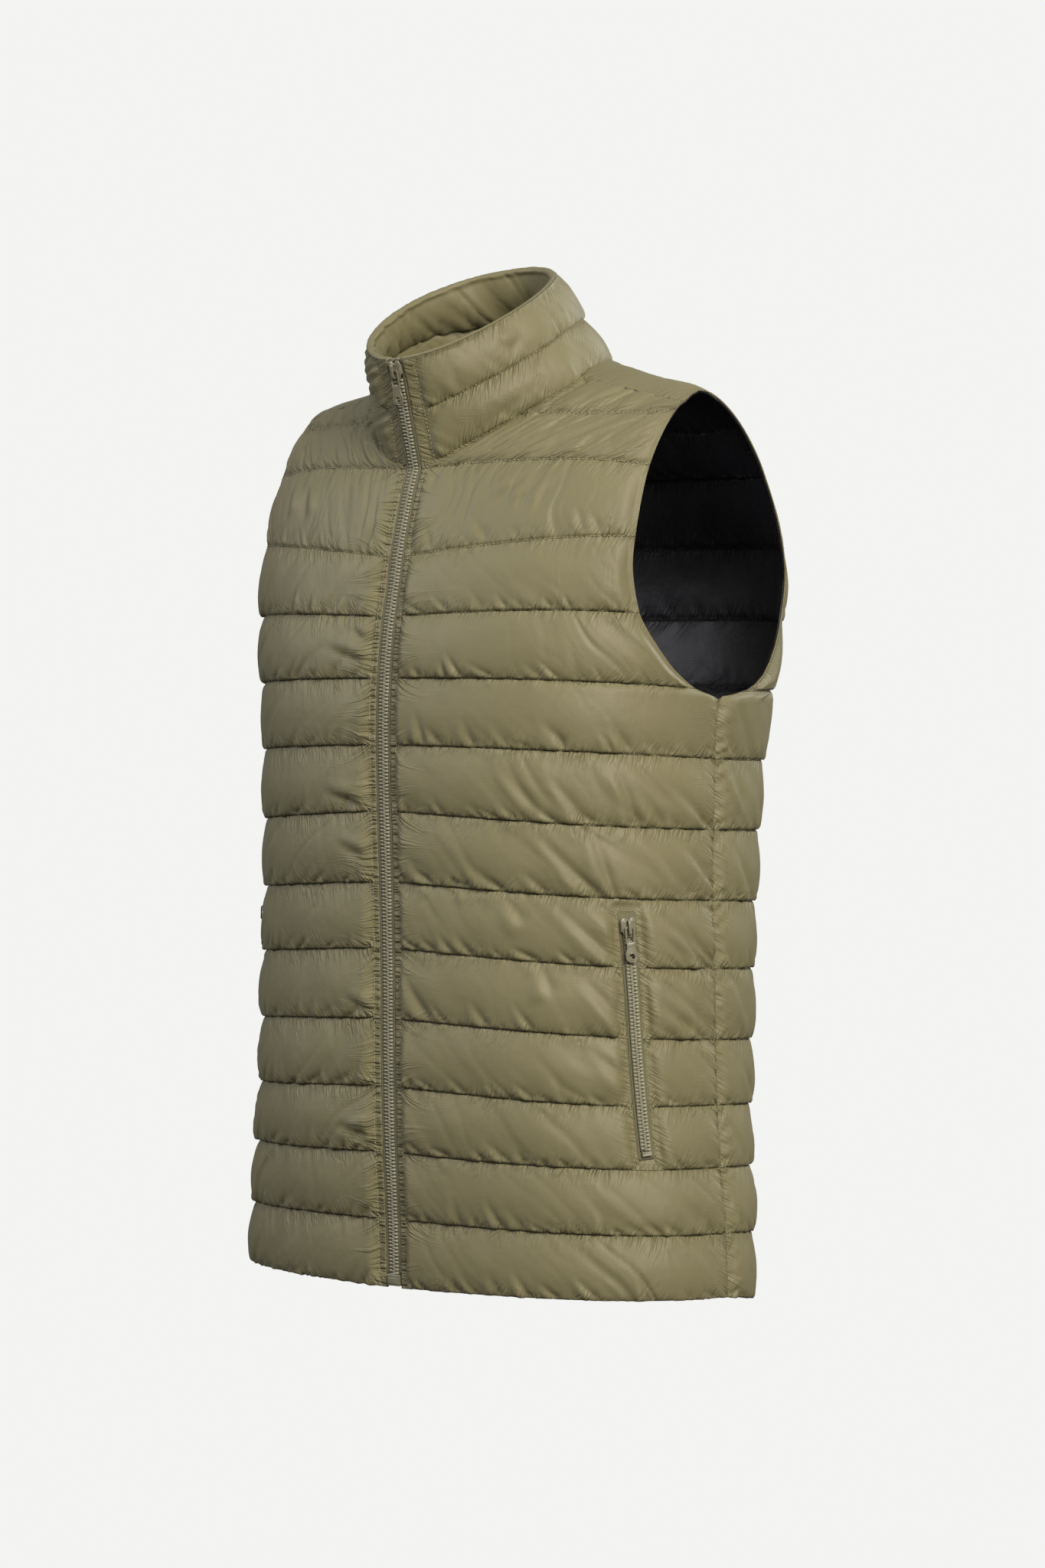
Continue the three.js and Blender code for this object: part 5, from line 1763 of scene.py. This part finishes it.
@dataclass(frozen=True)
class WovenCloth(Finish):
    """Taffeta or tape: fine crossed threads, with a faint sheen from their smooth filaments.

    Attributes:
        light: its colour where it is lightest.
        thread: spacing of its threads as drawn, in metres; the real ones are finer.
        relief: how deep the weave is drawn, in metres.
        crinkle: depth of the small crinkles between the modelled creases, in metres.
        pucker: depth of the finest puckers along quilt lines, zips and seams, in metres.
        sheen: strength of the sheen.
    """

    STRAY = (0.06, 0.06)
    # Sizes in metres, and detail, of the broad mottling, the small one and the crinkles.
    NOISES = ((0.09, 2), (0.012, 3), (0.008, 2))
    # Puckers to the metre, in the directions of the "cut" mark: at quilt lines, then at edges.
    PUCKERS = ((280, 40, 300), (30, 270, 300))
    light: str = "#ffffff"
    thread: float = 0.0011
    relief: float = 0.00004
    crinkle: float = 0.0003
    pucker: float = 0.0009
    sheen: float = 0.2

    def pattern(self, tree: bpy.types.NodeTree, place: bpy.types.NodeSocket) -> tuple:
        """See Finish.pattern."""
        broad, small, crinkles = (
            add_node(tree, "TexNoise", {"Vector": place, "Scale": 1 / size, "Detail": detail}).outputs["Fac"]
            for size, detail in self.NOISES
        )
        colour = linear(self.dark)
        for share, towards in ((broad, self.light), (small, self.colour)):
            inputs = {"Factor": share, "A": colour, "B": linear(towards)}
            colour = add_node(tree, "Mix", inputs, data_type="RGBA").outputs["Result"]
        threads = {"Vector": place, "Scale": BAND_SCALE / self.thread}
        warp, weft = (add_node(tree, "TexWave", threads, bands_direction=way).outputs["Fac"] for way in "XZ")
        weave = add_node(tree, "Math", {0: warp, 1: weft}, operation="MULTIPLY").outputs[0]
        bump = add_node(tree, "Bump", {"Height": weave, "Strength": 1.0, "Distance": self.relief})
        bump = add_node(tree, "Bump", {"Height": crinkles, "Strength": 1.0, "Distance": self.crinkle,
                                       "Normal": bump.outputs[0]})
        cut = add_node(tree, "Attribute", {}, attribute_name="cut").outputs["Vector"]
        pull = add_node(tree, "Attribute", {}, attribute_name="pull").outputs["Vector"]
        pulls = add_node(tree, "SeparateXYZ", {0: pull}).outputs
        for strength, scale in zip(pulls, self.PUCKERS):
            spread = add_node(tree, "VectorMath", {0: cut, 1: scale}, operation="MULTIPLY").outputs[0]
            folds = add_node(tree, "TexNoise", {"Vector": spread, "Scale": 1.0, "Detail": 1}).outputs["Fac"]
            folds = add_node(tree, "Math", {0: folds, 1: 0.5}, operation="SUBTRACT").outputs[0]
            folds = add_node(tree, "Math", {0: folds}, operation="ABSOLUTE").outputs[0]
            folds = add_node(tree, "MapRange", {"Value": folds, "From Max": 0.13}).outputs[0]
            height = add_node(tree, "Math", {0: folds, 1: strength}, operation="MULTIPLY").outputs[0]
            bump = add_node(tree, "Bump", {"Height": height, "Strength": 1.0, "Distance": self.pucker,
                                           "Normal": bump.outputs[0]})
        return colour, small, bump.outputs[0]

    def settings(self) -> dict[str, Any]:
        """See Finish.settings."""
        return {"Sheen Weight": self.sheen, "Sheen Roughness": 0.4, "Sheen Tint": linear(self.light)}


@dataclass(frozen=True)
class Thread(Finish):
    """Spun polyester sewing thread: two plies twisted round each other, matt and slightly fuzzy."""

    STRAY = (0.05, 0.05)
    twist: float = 0.0009

    def pattern(self, tree: bpy.types.NodeTree, place: bpy.types.NodeSocket) -> tuple:
        """See Finish.pattern."""
        turns = {"Vector": place, "Scale": BAND_SCALE / self.twist}
        plies = add_node(tree, "TexWave", turns, bands_direction="DIAGONAL").outputs["Fac"]
        inputs = {"Factor": plies, "A": linear(self.dark), "B": linear(self.colour)}
        colour = add_node(tree, "Mix", inputs, data_type="RGBA").outputs["Result"]
        bump = add_node(tree, "Bump", {"Height": plies, "Strength": 1.0, "Distance": 0.00008})
        return colour, plies, bump.outputs[0]


@dataclass(frozen=True)
class MouldedPlastic(Finish):
    """Moulded acetal: smooth and a little waxy, with a faint haze of handling."""

    haze: float = 0.004

    def pattern(self, tree: bpy.types.NodeTree, place: bpy.types.NodeSocket) -> tuple:
        """See Finish.pattern."""
        inputs = {"Vector": place, "Scale": 1 / self.haze, "Detail": 3}
        haze = add_node(tree, "TexNoise", inputs).outputs["Fac"]
        inputs = {"Factor": haze, "A": linear(self.dark), "B": linear(self.colour)}
        colour = add_node(tree, "Mix", inputs, data_type="RGBA").outputs["Result"]
        bump = add_node(tree, "Bump", {"Height": haze, "Strength": 1.0, "Distance": 0.00003})
        return colour, haze, bump.outputs[0]


@dataclass(frozen=True)
class PaintedZinc(Finish):
    """Die-cast zinc under baked enamel: an even satin coat, lighter at its sharp edges, partly from wear by
    handling and partly as a painted highlight.
    """

    # Sizes in metres, and detail, of the mottling and of the enamel's orange peel.
    NOISES = ((0.003, 4), (0.0012, 1))
    # Colour of the sharp edges: partly handling wear, partly a painted highlight.
    worn: str = "#9a9784"

    def pattern(self, tree: bpy.types.NodeTree, place: bpy.types.NodeSocket) -> tuple:
        """See Finish.pattern."""
        mottle, peel = (
            add_node(tree, "TexNoise", {"Vector": place, "Scale": 1 / size, "Detail": detail}).outputs["Fac"]
            for size, detail in self.NOISES
        )
        # Sharp edges take the pale edge colour: partly wear from handling, partly a painted highlight.
        edges = add_node(tree, "NewGeometry", {}).outputs["Pointiness"]
        edge_wear_and_highlight = add_node(tree, "MapRange", {"Value": edges, "From Min": 0.52, "From Max": 0.62}).outputs[0]
        colour = linear(self.dark)
        for share, towards in ((mottle, self.colour), (edge_wear_and_highlight, self.worn)):
            inputs = {"Factor": share, "A": colour, "B": linear(towards)}
            colour = add_node(tree, "Mix", inputs, data_type="RGBA").outputs["Result"]
        bump = add_node(tree, "Bump", {"Height": peel, "Strength": 1.0, "Distance": 0.00002})
        return colour, mottle, bump.outputs[0]

    def settings(self) -> dict[str, Any]:
        """See Finish.settings."""
        return {"Coat Weight": 0.25, "Coat Roughness": 0.3}


# Nylon taffeta, calendered on its back: satin lights, thin enough to crease sharply.
SHELL_CLOTH = WovenCloth("olive_nylon_taffeta", "#7d7758", "#6d684b", 0.56, 1.53, light="#898362")
# Polyester taffeta, dyed black: darker and flatter than the shell, with a faint grey sheen.
LINING_CLOTH = WovenCloth("black_polyester_taffeta", "#1e1d22", "#16151a", 0.45, 1.55, light="#27262d",
                          sheen=0.15)
# Woven polyester zip tape, with a coarser, duller weave than the shell.
TAPE_CLOTH = WovenCloth("woven_zip_tape", "#6f6c55", "#5c5a47", 0.8, 1.55, light="#7b785f", thread=0.0009,
                        relief=0.00012, crinkle=0.00005, sheen=0.1)
# Spun polyester thread, a little lighter than the cloth so that the quilting shows as fine dashes.
SHELL_THREAD = Thread("olive_polyester_thread", "#b3ab8b", "#8d8566", 0.65, 1.55)
LINING_THREAD = Thread("black_polyester_thread", "#2b2a2e", "#19181c", 0.6, 1.55)
# Moulded acetal teeth: greyer than the cloth and slightly glossy, so each catches a small light.
TEETH_PLASTIC = MouldedPlastic("moulded_acetal", "#a8a690", "#8d8b76", 0.42, 1.48)
# Enamelled die-cast zinc: satin, dark olive grey, with pale edges that are partly handling wear and partly a
# painted highlight.
SLIDER_METAL = PaintedZinc("enamelled_zinc", "#8c8975", "#716e5a", 0.27, 1.5, worn="#dedccb")


# ---- The studio ----
@dataclass(frozen=True)
class Studio:
    """A pale floor and backdrop, soft lights and the camera.

    Attributes:
        pale: colour of the backdrop and the floor.
        ambient: strength of the light from all round.
        floor_depth: height of the floor, in metres: the vest hangs as high as it is worn.
        azimuth: direction of the camera round the vest, in degrees from its front.
        distance: of the camera from the upright axis, in metres.
        aside: how far to its right the camera is aimed past the axis.
        height: of the camera.
        roll: how far it is turned about its own line of sight, in radians.
        focal: its focal length in lengths of the picture's long side.
    """

    pale: str = "#f3f4f2"
    ambient: float = 0.38
    floor_depth: float = -1.45
    azimuth: float = 39.5
    distance: float = 3.2
    aside: float = 0.0077
    height: float = -0.282
    roll: float = 0.016
    focal: float = 5824 / 2048

    def build(self) -> None:
        """Sets up the whole studio."""
        bpy.context.scene.view_settings.view_transform = "Standard"
        self.backdrop()
        self.floor()
        self.light("key", 62, 26, 4.5, 2.2, 218, "#fff6e6")
        self.light("fill", -44, 26, 4.2, 1.8, 58, "#f8f9ff")
        self.light("top", 30, 84, 2.4, 1.8, 2, "#ffffff")
        self.light("rim", 165, 30, 2.6, 1.2, 22, "#ffffff")
        self.camera()

    def backdrop(self) -> None:
        """A world brighter overhead than below, inside a wide pale dome that only the camera sees."""
        world = bpy.data.worlds.new("studio")
        tree = fresh_tree(world)
        place = add_node(tree, "TexCoord", {}).outputs["Generated"]
        up = add_node(tree, "SeparateXYZ", {0: place}).outputs["Z"]
        share = add_node(tree, "MapRange", {"Value": up, "From Min": -0.9, "From Max": 0.9}).outputs[0]
        inputs = {"Factor": share, "A": linear("#4a4a48"), "B": linear("#e6e8ea")}
        tint = add_node(tree, "Mix", inputs, data_type="RGBA").outputs["Result"]
        glow = add_node(tree, "Background", {"Color": tint, "Strength": self.ambient}).outputs[0]
        add_node(tree, "OutputWorld", {"Surface": glow})
        bpy.context.scene.world = world
        form = bmesh.new()
        bmesh.ops.create_uvsphere(form, u_segments=48, v_segments=24, radius=30)
        self.pale_surface("dome", form)

    def floor(self) -> None:
        """The floor: a wide plain disc in the backdrop's colour."""
        form = bmesh.new()
        bmesh.ops.create_circle(form, cap_ends=True, segments=96, radius=29.5)
        self.pale_surface("floor", form).location.z = self.floor_depth

    def pale_surface(self, name: str, form: bmesh.types.BMesh) -> bpy.types.Object:
        """Makes a part of the stage that is plainly pale and throws no light of its own on the vest."""
        mesh = bpy.data.meshes.new(name)
        form.to_mesh(mesh)
        form.free()
        made = bpy.data.materials.new(f"pale_{name}")
        tree = fresh_tree(made)
        glow = add_node(tree, "Emission", {"Color": linear(self.pale), "Strength": 1.0})
        add_node(tree, "OutputMaterial", {"Surface": glow.outputs[0]})
        mesh.materials.append(made)
        surface = bpy.data.objects.new(name, mesh)
        bpy.context.scene.collection.objects.link(surface)
        for ray in ("diffuse", "glossy", "shadow", "transmission"):
            setattr(surface, f"visible_{ray}", False)
        return surface

    def light(self, name: str, azimuth: float, elevation: float, distance: float, size: float,
              power: float, colour: str) -> None:
        """A soft square light aimed at the middle of the vest.

        Args:
            name: its name.
            azimuth: its direction from the front, in degrees.
            elevation: its direction above the level, in degrees.
            distance: how far off it is, in metres.
            size: its side.
            power: its power in watts.
            colour: its colour.
        """
        lamp = bpy.data.lights.new(name, "AREA")
        lamp.shape, lamp.size, lamp.energy, lamp.color = "SQUARE", size, power, linear(colour)[:3]
        held = bpy.data.objects.new(name, lamp)
        a, e = math.radians(azimuth), math.radians(elevation)
        away = Vector((math.sin(a) * math.cos(e), -math.cos(a) * math.cos(e), math.sin(e)))
        held.location = Vector((0, 0, -0.28)) + away * distance
        held.rotation_euler = away.to_track_quat("Z", "Y").to_euler()
        bpy.context.scene.collection.objects.link(held)

    def camera(self) -> None:
        """The camera, level, with a long lens."""
        data = bpy.data.cameras.new("camera")
        data.sensor_fit, data.sensor_width = "AUTO", 36
        data.lens = self.focal * 36
        camera = bpy.data.objects.new("camera", data)
        a = math.radians(self.azimuth)
        aside, away = Vector((math.cos(a), math.sin(a), 0)), Vector((math.sin(a), -math.cos(a), 0))
        up = Vector((0, 0, 1))
        turned_up = up * math.cos(self.roll) - aside * math.sin(self.roll)
        turned_aside = aside * math.cos(self.roll) + up * math.sin(self.roll)
        matrix = Matrix((turned_aside, turned_up, away)).transposed().to_4x4()
        matrix.translation = away * self.distance + aside * self.aside + up * self.height
        camera.matrix_world = matrix
        bpy.context.scene.collection.objects.link(camera)
        bpy.context.scene.camera = camera


# ---- The vest ----
def creases(rows: Sequence[tuple[float, ...]]) -> tuple[Crease, ...]:
    """Creases from rows of start and end positions, and of depth and width where a row gives them."""
    return tuple(Crease((x0, z0), (x1, z1), *own) for x0, z0, x1, z1, *own in rows)


# Long folds in the channels, as distance from the zip or neckline and height, at their upper and lower ends.
LEFT_FOLDS = (
    (92, -282, 109, -307), (124, -273, 151, -309), (151, -309, 163, -346), (66, -334, 89, -355),
    (19, -337, 36, -351), (110, -309, 158, -358), (182, -277, 202, -308), (196, -271, 253, -313),
    (167, -266, 185, -310), (185, -310, 223, -356), (209, -313, 253, -352), (90, -357, 107, -375),
    (123, -359, 172, -405), (147, -360, 169, -374), (186, -361, 251, -405), (200, -385, 248, -413),
    (116, -403, 126, -423), (142, -410, 175, -444), (187, -424, 243, -458), (191, -408, 251, -454),
    (9, -412, 33, -445), (149, -460, 175, -481), (119, -237, 135, -255), (165, -238, 179, -258),
    (91, -268, 115, -299), (175, -262, 210, -294),
    (59, -37, 96, -57), (72, -35, 123, -62), (92, -40, 133, -60), (103, -40, 141, -57),
    (90, -71, 72, -89), (103, -71, 88, -93), (117, -71, 102, -94),
    (25, -10, 35, -21), (60, -15, 82, -27), (13, -52, 15, -78),
)
RIGHT_FOLDS = (
    (50, -186, 6, -199), (28, -173, 8, -185), (48, -286, 13, -297), (36, -322, 8, -334), (30, -430, 8, -441),
    (40, -520, 10, -528), (58, -40, 84, -62), (84, -44, 116, -60), (104, -72, 96, -96), (128, -70, 122, -94),
)
BACK_FOLDS = (
    (14, -262, 30, -292), (20, -320, 44, -352), (12, -402, 34, -440), (26, -470, 48, -498),
    (470, -266, 452, -296), (462, -322, 440, -352), (474, -410, 452, -446), (458, -512, 440, -540),
)


@dataclass
class Vest:
    """The whole vest: its panels, linings, collar and zips, each dressed in its finish."""

    shell: Finish = SHELL_CLOTH
    lining: Finish = LINING_CLOTH

    def panels(self) -> None:
        """The fronts and the back of the shell."""
        for side, folds, seed, droop in (("left", LEFT_FOLDS, 11, 1.4), ("right", RIGHT_FOLDS, 47, 2.2)):
            name, mirrored = f"front_{side}_shell", side == "right"
            panel = FrontPanel(name, "shell", seed, mirrored, creases(folds), droop=droop)
            self.finish_shell(panel.build(), f"front_{side}")
        back = BackPanel("back_shell", "shell", 83, creases=creases(BACK_FOLDS))
        self.finish_shell(back.build(), "back")

    def finish_shell(self, piece: bpy.types.Object, *nodes: str) -> None:
        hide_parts(*nodes)
        self.dress_panel(piece, self.shell, SHELL_THREAD)

    @staticmethod
    def dress_panel(piece: bpy.types.Object, cloth: Finish, thread: Finish) -> None:
        """Puts a panel and its stitches in their finishes."""
        cloth.dress(piece)
        thread.dress(bpy.data.objects[f"stitches_{piece.name}"])

    def linings(self) -> None:
        """The linings of the fronts and the back."""
        for side, seed in (("left", 131), ("right", 137)):
            piece = LiningPanel(f"front_{side}_lining", "lining", seed, side == "right").build()
            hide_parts(f"lining_front_{side}")
            self.dress_panel(piece, self.lining, LINING_THREAD)
        piece = LiningPanel("back_lining_cloth", "lining", 151, cut=BackCut(), first=-1.0, last=1.0).build()
        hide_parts("lining_back")
        self.dress_panel(piece, self.lining, LINING_THREAD)

    def collar(self) -> None:
        """The stand collar."""
        piece = Collar("collar_pad", "shell", 211, creases=creases((
            (96, -4, 50, -34, 1.4, 4), (24, -19, 6, -45), (89, 29, 77, 18),
        ))).build()
        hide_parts("collar", "collar_facing")
        self.shell.dress(piece)
        SHELL_THREAD.dress(bpy.data.objects["stitches_collar"])

    def zips(self) -> None:
        """The front zip and the pockets' zips."""
        front = FrontZip().build()
        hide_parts("zip_tape_left", "zip_tape_right")
        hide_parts("zip_chain")
        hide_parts("zip_box")
        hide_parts("zip_top_stop_left", "zip_top_stop_right")
        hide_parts("zip_slider")
        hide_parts("zip_pull")
        self.dress_zip(front)
        for side in ("left", "right"):
            pocket = PocketZip(side).build()
            for part in ("tape", "stop", "slider", "pull"):
                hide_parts(f"pocket_{part}_{side}")
            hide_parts(f"pocket_chain_{side}")
            self.dress_zip(pocket)

    @staticmethod
    def dress_zip(pieces: Pieces) -> None:
        """Puts each of a zip's pieces in its own finish."""
        finishes = {"tape": TAPE_CLOTH, "teeth": TEETH_PLASTIC}
        for part, piece in pieces.items():
            finishes.get(part, SLIDER_METAL).dress(piece)


def main() -> None:
    """Builds the vest and the studio."""
    logging.basicConfig(level=logging.INFO, format="%(name)s: %(message)s", stream=sys.stdout)
    vest = Vest()
    vest.panels()
    vest.linings()
    vest.collar()
    vest.zips()
    Studio().build()


if __name__ == "__main__":
    main()
